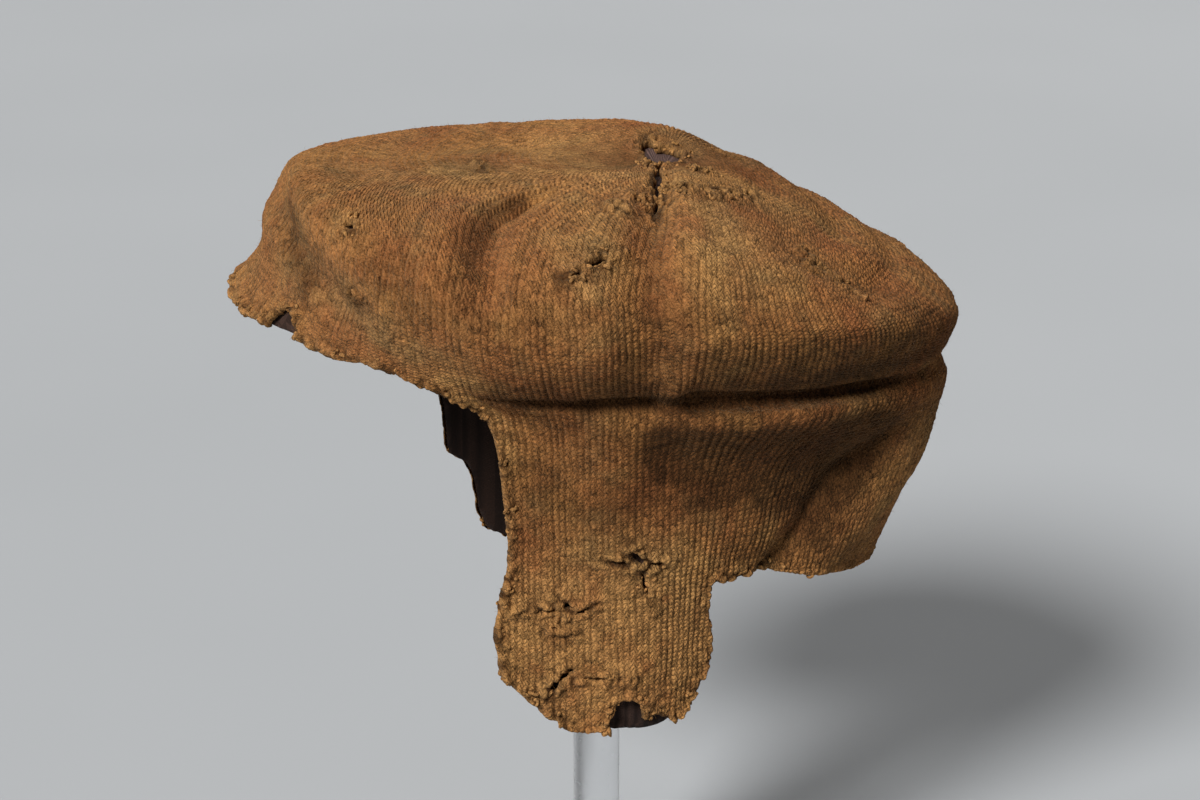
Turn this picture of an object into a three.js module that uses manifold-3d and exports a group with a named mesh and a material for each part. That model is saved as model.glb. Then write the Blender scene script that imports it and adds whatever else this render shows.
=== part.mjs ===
// An old knitted wool cap with a peak, two ear flaps and a neck flap, kept on a plain museum
// stand. Millimetres, +Z up. The wearer would look along -Y, and the wearer's left is +X.
// The origin is the middle of the stand's base, on the table.
import * as THREE from "three";
import { mergeVertices } from "three/addons/utils/BufferGeometryUtils.js";
import Module from "manifold-3d";

// Driving dimensions
const CREASE_HEIGHT = 260; // from the table to the crease above the wearer's ear
const KNIT_THICKNESS = 3; // fulled wool knitting
const LINING_THICKNESS = 1;
const GAP = 0.3; // between pieces that lie on each other
const POST_DIAMETER = 19;
const BASE_DIAMETER = 170;
const BASE_THICKNESS = 12;
const BASE_CHAMFER = 1.5;
const PAD_THICKNESS = 26; // the foam pad under the crown, at its middle

// The form of the cap is a set of rings from the crown's centre down to the ends of the flaps.
// Each ring has a radius and a height at six angles, which are measured round the head from
// the front, and both sides are alike. centre is how far the ring's middle lies behind the
// post. Heights are measured from the crease above the ear.
const ANGLES = { front: 0, brow: 32, temple: 60, ear: 92, corner: 140, nape: 180 };
const RINGS = [
  // name, centre, then [radius, height] at front, brow, temple, ear, corner and nape
  ["apex", 25, [0, 74], [0, 74], [0, 74], [0, 74], [0, 74], [0, 74]],
  ["top_inner", 23, [45, 77], [42, 77.5], [40, 79], [36, 79], [36, 73], [38, 67.5]],
  ["top_outer", 13, [95, 79], [90, 76.5], [82, 72], [78, 68.5], [86, 53], [87, 47]],
  ["rim_top", 6, [124.5, 76.5], [117, 68], [106, 60], [101, 51], [115, 36], [120, 31.5]],
  ["rim", 6, [135, 61], [126, 50], [115, 39], [106, 37], [121, 27], [136.5, 16]],
  ["under", 6, [137, 46], [128, 32], [110, 21], [97, 18.5], [112.5, 11.5], [135, 3]],
  ["crease", 6, [142, 37], [131, 22], [101, 8], [84, 4], [103.5, 0.5], [131.5, -4.5]],
  ["band", 6, [149, 27.5], [134, 13], [91, -4], [84, -11], [107, -10.5], [132, -15.5]],
  ["middle", 6, [154, 12], [137, -8], [88, -40], [80, -42], [93, -44], [124, -44]],
  ["hem", 6, [156, -10], [137, -40], [88, -76], [78, -76], [79, -82], [106, -92]],
  ["flap_low", 6, [156, -40], [137, -76], [89, -112], [77, -112], [72, -112], [95, -118]],
  ["flap_end", 6, [156, -80], [137, -120], [89, -150], [74, -150], [68, -150], [90, -150]],
];
const RIM_LEVEL = 4; // below this ring the wall only goes down, so a height names one place

// Folds and dents: a line between two places, each an angle and a ring level, with its half
// width in degrees and in ring levels. depth is in millimetres, and less than 0 goes inwards.
const FOLDS = [
  { name: "pleat", from: [90, 1.3], to: [94, 4.7], half: [5.5, 0.5], depth: -4.5 },
  { name: "ridge_ahead", from: [78.5, 2.0], to: [83.5, 4.2], half: [6.5, 0.6], depth: 2 },
  { name: "ridge_behind", from: [101, 1.6], to: [106, 3.9], half: [7, 0.6], depth: 2.5 },
  { name: "temple_dent", from: [42, 1.75], to: [56, 3.2], half: [4.5, 0.35], depth: -5.5 },
  { name: "temple_ridge", from: [38, 2.2], to: [47, 3.5], half: [5, 0.5], depth: 3 },
  { name: "front_hollow", from: [1, 3.45], to: [30, 4.4], half: [7, 0.4], depth: -5 },
  { name: "front_hollow_far", from: [-20, 3.6], to: [-28, 5.0], half: [8, 0.5], depth: -3 },
  { name: "top_hollow", from: [3, 2.3], to: [-26, 1.3], half: [12, 0.3], depth: -3 },
  { name: "back_valley", from: [136, 1.9], to: [149, 2.6], half: [8, 0.35], depth: -3.5 },
  { name: "back_ridge", from: [158, 2.0], to: [157, 3.0], half: [7, 0.5], depth: 1.5 },
  { name: "back_valley_far", from: [-130, 1.8], to: [-150, 3.2], half: [10, 0.5], depth: -3 },
  { name: "crease_ahead", from: [68, 6.0], to: [93, 5.95], half: [6, 0.2], depth: -3 },
  { name: "crease_behind", from: [106, 5.7], to: [148, 6.0], half: [7, 0.22], depth: -3 },
  { name: "crease_bridge", from: [99.5, 5.2], to: [99.5, 6.2], half: [3.5, 0.5], depth: 2.5 },
  { name: "band_ridge", from: [108, 6.25], to: [141, 6.7], half: [9, 0.25], depth: 2.5 },
  { name: "side_hollow", from: [104, 7.35], to: [147, 7.85], half: [11, 0.5], depth: -7.5 },
  { name: "side_hollow_far", from: [-95, 7.8], to: [-138, 7.8], half: [16, 0.6], depth: -4 },
  { name: "neck_valley", from: [134, 8.9], to: [158, 7.5], half: [5, 0.25], depth: -2.5 },
  { name: "neck_ridge", from: [150, 8.8], to: [169, 7.9], half: [8, 0.45], depth: 4 },
  { name: "neck_ridge_far", from: [-134, 8.9], to: [-156, 7.3], half: [8, 0.4], depth: 3 },
  { name: "nape_bulge", from: [176, 7.0], to: [184, 7.0], half: [16, 0.5], depth: 2 },
];

// The hem, as [angle, height]: first the edge of the peak, then the flap and the neck flap.
// The far ear flap is a little shorter and wider than the near one, as the old cap has them.
const PEAK_EDGE_NEAR = [[0, 27], [8, 26.5], [20, 26], [30, 22.5], [40, 20], [47, 14.3], [53, 9]];
const PEAK_EDGE_FAR = [[0, 27], [-8, 26.5], [-18, 25], [-28, 22], [-36, 17], [-41, 11]];
const NECK_EDGE = [[120, -76.6], [132, -76.5], [147, -81], [160, -87], [172, -90], [180, -91]];
const FLAPS = {
  near: {
    side: 1,
    front: [[56.5, 0], [57.8, -12], [58.4, -35], [58.9, -59], [57.4, -75], [56.4, -92], [58, -110]],
    end: [[58, -110], [62.8, -119], [66.8, -125.4], [75, -133], [84, -134.5], [95, -136.4],
      [104, -135.5], [110, -129.5], [115, -120], [118, -109]],
    back: [[116, -76], [116, -87], [118, -100], [118, -109]],
  },
  far: {
    side: -1,
    front: [[44.6, 0], [47.6, -22], [50.3, -46], [51, -60], [51.6, -73], [54.6, -77.5],
      [56, -85.5], [57, -99]],
    end: [[57, -99], [59, -108], [63, -111.5], [68, -116], [76, -123], [86, -127], [97, -127],
      [106, -123], [112, -115], [117, -104]],
    back: [[116, -76], [117, -84], [118, -95], [117, -104]],
  },
};

// Moth holes and worn notches that go through the knitting only, so that the lining shows.
// at is [angle, ring level], and size is the length along the wale and the width across it.
const HOLES = [
  { name: "crown_hole", at: [-90, 0.2], size: [16, 12], turn: 0 },
  { name: "crown_slit", at: [85.5, 0.9], size: [34, 3.4], turn: 0 },
  { name: "temple_slit", at: [78.5, 2.62], size: [14, 3], turn: -40 },
  { name: "ear_hole", at: [93, 8.65], size: [14, 4], turn: 10 },
  { name: "flap_slit", at: [70, 9.9], size: [13, 4], turn: -40 },
  { name: "flap_notch", at: [92.5, 10.45], size: [17, 24], turn: 0 },
  { name: "peak_notch", at: [20.5, 6.35], size: [8, 13], turn: 0 },
];

// Resolution of the faceted wall
const ROWS_TO_RIM = 8;
const ROWS_TO_HEM = 10;
const FLAP_ROWS = 8;
const COLUMN_STEP = 7.2; // degrees, at the most
const PAD_ROWS = 3; // how far down the crown the pad reaches
const BASE_SIDES = 64;
const POST_SIDES = 32;
const HOLE_SIDES = 8;

const radians = THREE.MathUtils.degToRad;

// A smooth curve through unevenly spaced knots, as a cubic Hermite spline.
function spline(knots, values, at) {
  const last = knots.length - 1;
  let i = 0;
  while (i < last - 1 && at >= knots[i + 1]) i += 1;
  const slope = (k) => (values[k + 1] - values[k]) / (knots[k + 1] - knots[k]);
  const tangent = (k) => {
    if (k === 0) return slope(0);
    if (k === last) return slope(last - 1);
    const before = knots[k] - knots[k - 1];
    const after = knots[k + 1] - knots[k];
    return (slope(k - 1) * after + slope(k) * before) / (before + after);
  };
  const span = knots[i + 1] - knots[i];
  const t = (at - knots[i]) / span;
  const t2 = t * t;
  const t3 = t2 * t;
  return (
    (2 * t3 - 3 * t2 + 1) * values[i] +
    (t3 - 2 * t2 + t) * span * tangent(i) +
    (3 * t2 - 2 * t3) * values[i + 1] +
    (t3 - t2) * span * tangent(i + 1)
  );
}

// Both sides are alike, so the six angles are mirrored past the front and past the nape.
const stations = Object.values(ANGLES);
const mirrored = (list) => [...list.slice(1).reverse(), ...list, ...list.slice(0, -1).reverse()];
const stationAngles = [
  ...stations.slice(1).reverse().map((a) => -a),
  ...stations,
  ...stations.slice(0, -1).reverse().map((a) => 360 - a),
];
const wrapped = (angle) => Math.abs(THREE.MathUtils.euclideanModulo(angle + 180, 360) - 180);

// The smooth form without its folds. The ring beyond the apex is the first one mirrored.
function smoothPoint(angle, level) {
  const folded = wrapped(angle);
  const around = (ring, part) =>
    spline(stationAngles, mirrored(ring.slice(2).map((pair) => pair[part])), folded);
  const levels = [-1, ...RINGS.keys()];
  const down = (values, sign) => spline(levels, [sign * values[1], ...values], level);
  const radius = down(RINGS.map((ring) => around(ring, 0)), -1);
  const height = down(RINGS.map((ring) => around(ring, 1)), 1);
  const centre = down(RINGS.map((ring) => ring[1]), 1);
  const a = radians(angle);
  return new THREE.Vector3(radius * Math.sin(a), centre - radius * Math.cos(a), height);
}

// How far the folds push a place of the wall out of the smooth form.
function foldDepth(angle, level) {
  let sum = 0;
  for (const { from, to, half, depth } of FOLDS) {
    const turned = THREE.MathUtils.euclideanModulo(angle - from[0] + 180, 360) - 180;
    const place = new THREE.Vector2(turned / half[0], (level - from[1]) / half[1]);
    const line = new THREE.Vector2((to[0] - from[0]) / half[0], (to[1] - from[1]) / half[1]);
    const along = THREE.MathUtils.clamp(place.dot(line) / line.lengthSq(), 0, 1);
    const away = place.addScaledVector(line, -along).lengthSq();
    sum += depth * Math.exp(-away);
  }
  return sum;
}

// A point of the outer face moved in by depth along the wall's own normal.
function wallPoint(angle, level, depth) {
  const step = 0.02;
  const near = Math.max(level, step);
  const alongRing = smoothPoint(angle + 1, near).sub(smoothPoint(angle - 1, near));
  const alongWale = smoothPoint(angle, near + step).sub(smoothPoint(angle, near - step));
  const outward = alongWale.cross(alongRing).normalize();
  if (level <= step) outward.set(0, 0, 1);
  const moved = foldDepth(angle, level) * Math.min(1, level) - depth;
  return smoothPoint(angle, level).addScaledVector(outward, moved);
}

// The ring level at which the wall has a given height at an angle.
function levelAt(angle, height) {
  let low = RIM_LEVEL;
  let high = RINGS.length - 1;
  for (let i = 0; i < 30; i += 1) {
    const middle = (low + high) / 2;
    if (smoothPoint(angle, middle).z > height) low = middle;
    else high = middle;
  }
  return low;
}

const toLevels = (side, edge) => edge.map(([a, z]) => [side * a, levelAt(side * a, z)]);

// A place on an edge, where share runs from 0 at its start to 1 at its end.
function alongEdge(edge, share) {
  const knots = edge.map((_, i) => i);
  const at = share * (edge.length - 1);
  return [0, 1].map((part) => spline(knots, edge.map((place) => place[part]), at));
}

const flapEdges = {};
for (const [name, { side, front, end, back }] of Object.entries(FLAPS)) {
  flapEdges[name] = {
    front: toLevels(side, front),
    end: toLevels(side, end),
    back: toLevels(side, back),
  };
}

// The hem without the ear flaps, as one line round the cap: over each flap it is the root.
const hemLine = [
  ...toLevels(-1, NECK_EDGE).map(([a, level]) => [a + 360, level]),
  [360 + flapEdges.far.back[0][0], flapEdges.far.back[0][1]],
  [360 + flapEdges.far.front[0][0], flapEdges.far.front[0][1]],
  ...toLevels(1, PEAK_EDGE_FAR).map(([a, level]) => [a + 360, level]),
  ...toLevels(1, PEAK_EDGE_NEAR),
  flapEdges.near.front[0],
  flapEdges.near.back[0],
  ...toLevels(1, NECK_EDGE),
].sort((a, b) => a[0] - b[0]).filter((place, i, all) => i === 0 || place[0] - all[i - 1][0] > 0.5);

function hemLevel(angle) {
  const turned = THREE.MathUtils.euclideanModulo(angle, 360);
  let i = 0;
  while (i < hemLine.length - 2 && turned > hemLine[i + 1][0]) i += 1;
  const share = (turned - hemLine[i][0]) / (hemLine[i + 1][0] - hemLine[i][0]);
  return THREE.MathUtils.lerp(hemLine[i][1], hemLine[i + 1][1], share);
}

// Column angles, with one exactly on the root of each edge of the flaps.
const roots = [
  0,
  flapEdges.near.front[0][0],
  flapEdges.near.back[0][0],
  180,
  360 + flapEdges.far.back[0][0],
  360 + flapEdges.far.front[0][0],
  360,
];
const columns = [];
const rootColumn = roots.map((from, i) => {
  const start = columns.length;
  if (i < roots.length - 1) {
    const count = Math.ceil((roots[i + 1] - from) / COLUMN_STEP);
    for (let k = 0; k < count; k += 1) {
      columns.push(THREE.MathUtils.lerp(from, roots[i + 1], k / count));
    }
  }
  return start;
});

// Every place of the wall, as angle and level, with the faces between them.
const places = [[0, 0]];
const faces = [];
const rowCount = ROWS_TO_RIM + ROWS_TO_HEM;
const bodyIndex = (row, column) => 1 + (row - 1) * columns.length + (column % columns.length);

function addQuad(a, b, c, d) {
  faces.push([a, b, c], [a, c, d]);
}

for (let row = 1; row <= rowCount; row += 1) {
  for (const angle of columns) {
    const below = (row - ROWS_TO_RIM) / ROWS_TO_HEM;
    const level = row <= ROWS_TO_RIM
      ? (RIM_LEVEL * row) / ROWS_TO_RIM
      : THREE.MathUtils.lerp(RIM_LEVEL, hemLevel(angle), below);
    places.push([angle, level]);
  }
}
for (let column = 0; column < columns.length; column += 1) {
  faces.push([0, bodyIndex(1, column), bodyIndex(1, column + 1)]);
  for (let row = 1; row < rowCount; row += 1) {
    addQuad(
      bodyIndex(row, column),
      bodyIndex(row + 1, column),
      bodyIndex(row + 1, column + 1),
      bodyIndex(row, column + 1),
    );
  }
}

// An ear flap is a patch between its root, its two edges and its rounded end.
function addFlap({ front, end, back }, firstColumn, lastColumn, forwardFirst) {
  const width = lastColumn - firstColumn;
  const [leading, trailing] = forwardFirst ? [front, back] : [back, front];
  const closing = forwardFirst ? end : [...end].reverse();
  const rowStart = [Array.from({ length: width + 1 }, (_, i) => bodyIndex(rowCount, firstColumn + i))];
  const root = rowStart[0].map((index) => places[index]);
  const unturned = (place) => [place[0] > 180 ? place[0] - 360 : place[0], place[1]];
  for (let row = 1; row <= FLAP_ROWS; row += 1) {
    const down = row / FLAP_ROWS;
    const line = [];
    for (let i = 0; i <= width; i += 1) {
      const across = i / width;
      const top = unturned(root[i]);
      const bottom = alongEdge(closing, across);
      const left = alongEdge(leading, down);
      const right = alongEdge(trailing, down);
      const corners = [unturned(root[0]), unturned(root[width]), closing[0], closing.at(-1)];
      line.push(places.length);
      places.push([0, 1].map((part) =>
        (1 - down) * top[part] + down * bottom[part] +
        (1 - across) * left[part] + across * right[part] -
        (1 - down) * ((1 - across) * corners[0][part] + across * corners[1][part]) -
        down * ((1 - across) * corners[2][part] + across * corners[3][part])));
    }
    rowStart.push(line);
    for (let i = 0; i < width; i += 1) {
      addQuad(rowStart[row - 1][i], line[i], line[i + 1], rowStart[row - 1][i + 1]);
    }
  }
}
addFlap(flapEdges.near, rootColumn[1], rootColumn[2], true);
addFlap(flapEdges.far, rootColumn[4], rootColumn[5], false);

// The edges that only one face has are the hem, which the wall's thickness closes.
function openEdges(triangles) {
  const open = new Map();
  for (const triangle of triangles) {
    triangle.forEach((a, i) => {
      const b = triangle[(i + 1) % 3];
      if (!open.delete(`${b} ${a}`)) open.set(`${a} ${b}`, [a, b]);
    });
  }
  return [...open.values()];
}

// A closed wall between two depths below the cap's outer face.
function wall(outerDepth, innerDepth) {
  const positions = [];
  for (const depth of [outerDepth, innerDepth]) {
    for (const [angle, level] of places) positions.push(...wallPoint(angle, level, depth).toArray());
  }
  const inner = places.length;
  const index = [];
  for (const [a, b, c] of faces) index.push(a, b, c, inner + a, inner + c, inner + b);
  for (const [a, b] of openEdges(faces)) index.push(b, a, inner + a, b, inner + a, inner + b);
  const geometry = new THREE.BufferGeometry();
  geometry.setAttribute("position", new THREE.Float32BufferAttribute(positions, 3));
  geometry.setIndex(index);
  return geometry;
}

const wasm = await Module();
wasm.setup();

function toSolid(geometry) {
  const bare = geometry.clone();
  bare.deleteAttribute("normal");
  bare.deleteAttribute("uv");
  const merged = mergeVertices(bare, 1e-4);
  return new wasm.Manifold(new wasm.Mesh({
    numProp: 3,
    vertProperties: new Float32Array(merged.attributes.position.array),
    triVerts: new Uint32Array(merged.index.array),
  }));
}

function toGeometry(solid) {
  const mesh = solid.getMesh();
  const geometry = new THREE.BufferGeometry();
  geometry.setAttribute("position", new THREE.Float32BufferAttribute(mesh.vertProperties, 3));
  geometry.setIndex([...mesh.triVerts]);
  return geometry;
}

// A many-sided oval plug that cuts one hole through the knitting, square to the wall.
function holeCutter({ at: [angle, level], size: [length, width], turn }) {
  const plug = new THREE.CylinderGeometry(0.5, 0.5, 2 * KNIT_THICKNESS + GAP, HOLE_SIDES);
  plug.scale(width, 1, length);
  plug.rotateY(radians(turn));
  const middle = wallPoint(angle, level, KNIT_THICKNESS / 2 - GAP / 2);
  const outward = wallPoint(angle, level, 0).sub(wallPoint(angle, level, 1)).normalize();
  const alongWale = wallPoint(angle, level + 0.05, 0).sub(wallPoint(angle, level, 0));
  const across = new THREE.Vector3().crossVectors(outward, alongWale).normalize();
  const along = new THREE.Vector3().crossVectors(across, outward);
  plug.applyMatrix4(new THREE.Matrix4().makeBasis(across, outward, along).setPosition(middle));
  return toSolid(plug);
}

function knitGeometry() {
  let solid = toSolid(wall(0, KNIT_THICKNESS));
  for (const hole of HOLES) solid = solid.subtract(holeCutter(hole));
  return toGeometry(solid);
}

// The pad under the crown takes the facets of the lining above it and is flat below.
function padGeometry() {
  const depth = KNIT_THICKNESS + LINING_THICKNESS + 2 * GAP;
  const flat = RINGS[0][2][1] - depth - PAD_THICKNESS;
  const sides = columns.length;
  const top = places.slice(0, 1 + PAD_ROWS * sides).map(([a, level]) => wallPoint(a, level, depth));
  const rim = top.slice(-sides);
  const points = [...top, ...rim.map((p) => p.clone().setZ(flat)), top[0].clone().setZ(flat)];
  const under = (column) => top.length + (column % sides);
  const index = [];
  for (let column = 0; column < sides; column += 1) {
    const next = column + 1;
    index.push(0, bodyIndex(1, column), bodyIndex(1, next));
    for (let row = 1; row < PAD_ROWS; row += 1) {
      index.push(bodyIndex(row, column), bodyIndex(row + 1, column), bodyIndex(row + 1, next));
      index.push(bodyIndex(row, column), bodyIndex(row + 1, next), bodyIndex(row, next));
    }
    index.push(bodyIndex(PAD_ROWS, column), under(column), under(next));
    index.push(bodyIndex(PAD_ROWS, column), under(next), bodyIndex(PAD_ROWS, next));
    index.push(under(column), points.length - 1, under(next));
  }
  const geometry = new THREE.BufferGeometry().setFromPoints(points);
  geometry.setIndex(index);
  return { geometry, flat };
}

// The stand: a round base and a post, which ends under the pad.
function baseGeometry() {
  const radius = BASE_DIAMETER / 2;
  const profile = [
    [0, 0],
    [radius - BASE_CHAMFER, 0],
    [radius, BASE_CHAMFER],
    [radius, BASE_THICKNESS - BASE_CHAMFER],
    [radius - BASE_CHAMFER, BASE_THICKNESS],
    [0, BASE_THICKNESS],
  ].map(([r, z]) => new THREE.Vector2(r, z));
  return new THREE.LatheGeometry(profile, BASE_SIDES).rotateX(Math.PI / 2);
}

function postGeometry(top) {
  const length = top - BASE_THICKNESS;
  return new THREE.CylinderGeometry(POST_DIAMETER / 2, POST_DIAMETER / 2, length, POST_SIDES)
    .rotateX(Math.PI / 2)
    .translate(0, 0, BASE_THICKNESS + length / 2);
}

const materials = {
  wool: new THREE.MeshStandardMaterial({ color: 0x9a6532, roughness: 0.95, metalness: 0 }),
  lining: new THREE.MeshStandardMaterial({ color: 0x45302c, roughness: 0.9, metalness: 0 }),
  foam: new THREE.MeshStandardMaterial({ color: 0xe6e4df, roughness: 0.85, metalness: 0 }),
  stand: new THREE.MeshStandardMaterial({ color: 0xd9dadd, roughness: 0.35, metalness: 0 }),
};

function named(name, geometry, material) {
  const mesh = new THREE.Mesh(geometry, material);
  mesh.name = name;
  return mesh;
}

const liningOuter = KNIT_THICKNESS + GAP;
const pad = padGeometry();

const cap = new THREE.Group();
cap.position.z = CREASE_HEIGHT;
cap.add(
  named("knit_cap", knitGeometry(), materials.wool),
  named("lining", wall(liningOuter, liningOuter + LINING_THICKNESS), materials.lining),
  named("crown_pad", pad.geometry, materials.foam),
);

const stand = new THREE.Group();
stand.add(
  named("stand_base", baseGeometry(), materials.stand),
  named("stand_post", postGeometry(CREASE_HEIGHT + pad.flat), materials.stand),
);

const object = new THREE.Group();
object.add(cap, stand);

export default object;
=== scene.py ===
# %% [markdown]
# This scene rebuilds one old cap of knitted wool: a full crown, a short peak, two ear flaps
# and a neck flap, on a plain stand. Knitting that has been washed hot and rubbed shrinks into
# a thick felted cloth, which is called fulled wool, and a century of wear has left moth
# holes, curled loops and stains in it. The solids of the frame give the size and the place
# of every piece. What is made here is what the eye reads: stitches, yarn, dirt and light.

import bpy
import numpy as np
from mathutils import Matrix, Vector


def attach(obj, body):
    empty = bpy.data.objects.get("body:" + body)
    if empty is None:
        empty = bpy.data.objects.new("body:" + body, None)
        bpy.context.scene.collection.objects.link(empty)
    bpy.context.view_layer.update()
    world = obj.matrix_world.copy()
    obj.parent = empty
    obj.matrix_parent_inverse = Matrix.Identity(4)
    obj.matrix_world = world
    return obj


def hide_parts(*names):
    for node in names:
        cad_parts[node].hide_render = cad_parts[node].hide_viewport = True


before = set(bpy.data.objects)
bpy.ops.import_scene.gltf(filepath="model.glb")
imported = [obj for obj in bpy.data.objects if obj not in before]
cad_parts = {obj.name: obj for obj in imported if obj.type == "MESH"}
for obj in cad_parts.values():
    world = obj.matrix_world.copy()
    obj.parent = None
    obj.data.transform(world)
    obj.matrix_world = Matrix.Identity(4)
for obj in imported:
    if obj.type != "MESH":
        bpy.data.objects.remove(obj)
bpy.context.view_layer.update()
print("nodes of the frame:", sorted(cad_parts))

# %% [markdown]
# The cap has no straight line anywhere, so it could be sculpted by hand, or cloth could be
# dropped on a head and left to settle. Neither gives the same folds twice. Here the form is
# a table: rings from the middle of the crown down to the flaps, each with a radius and a
# height at six angles round the head. A smooth curve runs through the numbers both ways, so
# every later piece can ask for a point of the cloth and gets the same cloth.

# %% Rings of the cap, in millimetres
MM = 0.001
CREASE_HEIGHT = 260.0  # heights below are measured from the crease above the ear
ANGLES = [0, 32, 60, 92, 140, 180]  # front, brow, temple, ear, corner, nape
RINGS = [  # the ring's middle behind the post, then radius and height at the six angles
    (25, [(0, 74), (0, 74), (0, 74), (0, 74), (0, 74), (0, 74)]),
    (23, [(45, 77), (42, 77.5), (40, 79), (36, 79), (36, 73), (38, 67.5)]),
    (13, [(95, 79), (90, 76.5), (82, 72), (78, 68.5), (86, 53), (87, 47)]),
    (6, [(124.5, 76.5), (117, 68), (106, 60), (101, 51), (115, 36), (120, 31.5)]),
    (6, [(135, 61), (126, 50), (115, 39), (106, 37), (121, 27), (136.5, 16)]),
    (6, [(137, 46), (128, 32), (110, 21), (97, 18.5), (112.5, 11.5), (135, 3)]),
    (6, [(142, 37), (131, 22), (101, 8), (84, 4), (103.5, 0.5), (131.5, -4.5)]),
    (6, [(149, 27.5), (134, 13), (91, -4), (84, -11), (107, -10.5), (132, -15.5)]),
    (6, [(154, 12), (137, -8), (88, -40), (80, -42), (93, -44), (124, -44)]),
    (6, [(156, -10), (137, -40), (88, -76), (78, -76), (79, -82), (106, -92)]),
    (6, [(156, -40), (137, -76), (89, -112), (77, -112), (72, -112), (95, -118)]),
    (6, [(156, -80), (137, -120), (89, -150), (74, -150), (68, -150), (90, -150)]),
]
RIM, CREASE = 4, 6  # two of the rings that later pieces name
print(len(RINGS), "rings at", len(ANGLES), "angles")


# %% A smooth curve through a table
def curve_through(knots, values, at):
    """Cubic Hermite curve, the tangent at each knot weighing the slopes on its two sides."""
    knots = np.asarray(knots, float)
    values = np.asarray(values, float)
    gap = np.diff(knots)
    slope = np.diff(values) / gap
    inner = (slope[:-1] * gap[1:] + slope[1:] * gap[:-1]) / (gap[:-1] + gap[1:])
    tangent = np.concatenate([slope[:1], inner, slope[-1:]])
    i = np.clip(np.searchsorted(knots, at, side="right") - 1, 0, len(knots) - 2)
    t = (at - knots[i]) / gap[i]
    first = (2 * t**3 - 3 * t**2 + 1) * values[i] + (t**3 - 2 * t**2 + t) * gap[i] * tangent[i]
    second = (3 * t**2 - 2 * t**3) * values[i + 1] + (t**3 - t**2) * gap[i] * tangent[i + 1]
    return first + second


def mirrored(values):
    """Both sides of the head are alike, so a ring goes on past the front and the nape."""
    return [*values[:0:-1], *values, *values[-2::-1]]


station_angles = [-a for a in ANGLES[:0:-1]] + ANGLES + [360 - a for a in ANGLES[-2::-1]]
fine_angles = np.arange(0, 180.5, 0.5)
fine_rings = np.array([
    [curve_through(station_angles, mirrored([pair[part] for pair in pairs]), fine_angles)
     for part in (0, 1)]
    for _, pairs in RINGS
])
middles = np.array([middle for middle, _ in RINGS], float)


def down_the_wale(values, level, mirror):
    """Values at the rings, one row each, read at a ring level between them."""
    k = np.clip(np.floor(level).astype(int), 0, len(values) - 2)
    t = level - k
    rows = np.concatenate([mirror * values[1:2], values, 2 * values[-1:] - values[-2:-1]])
    take = lambda step: np.take_along_axis(rows, (k + 1 + step)[None, :], 0)[0]
    before, here, after, beyond = take(-1), take(0), take(1), take(2)
    start, end = (after - before) / 2, (beyond - here) / 2
    first = (2 * t**3 - 3 * t**2 + 1) * here + (t**3 - 2 * t**2 + t) * start
    return first + (3 * t**2 - 2 * t**3) * after + (t**3 - t**2) * end


def wrapped(angle):
    """The same direction, as an angle from -180 to 180."""
    return (angle + 180) % 360 - 180


def smooth_point(angle, level):
    """Points of the cap without its folds. 0 degrees is the front, 90 the wearer's left."""
    folded = np.abs(wrapped(angle))
    radius = np.array([np.interp(folded, fine_angles, ring[0]) for ring in fine_rings])
    height = np.array([np.interp(folded, fine_angles, ring[1]) for ring in fine_rings])
    middle = np.repeat(middles[:, None], len(angle), axis=1)
    radius = down_the_wale(radius, level, -1)
    height = down_the_wale(height, level, 1)
    middle = down_the_wale(middle, level, 1)
    turn = np.radians(angle)
    return np.stack([radius * np.sin(turn), middle - radius * np.cos(turn), height], axis=1)


probe = smooth_point(np.array([0.0, 92.0, 180.0]), np.array([4.0, 4.0, 4.0]))
print("rim at front, ear and nape, mm:", probe.round(1).tolist())

# %% [markdown]
# Felted wool keeps the creases of the way it was stored. Each fold here is a short line on
# the cloth with a soft cross-section, like a bell curve, that pushes the wall in or out. A
# sculpting brush does the same with one stroke. As a list the strokes stay readable, and
# nearly all of them are the same as in the frame.

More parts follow.
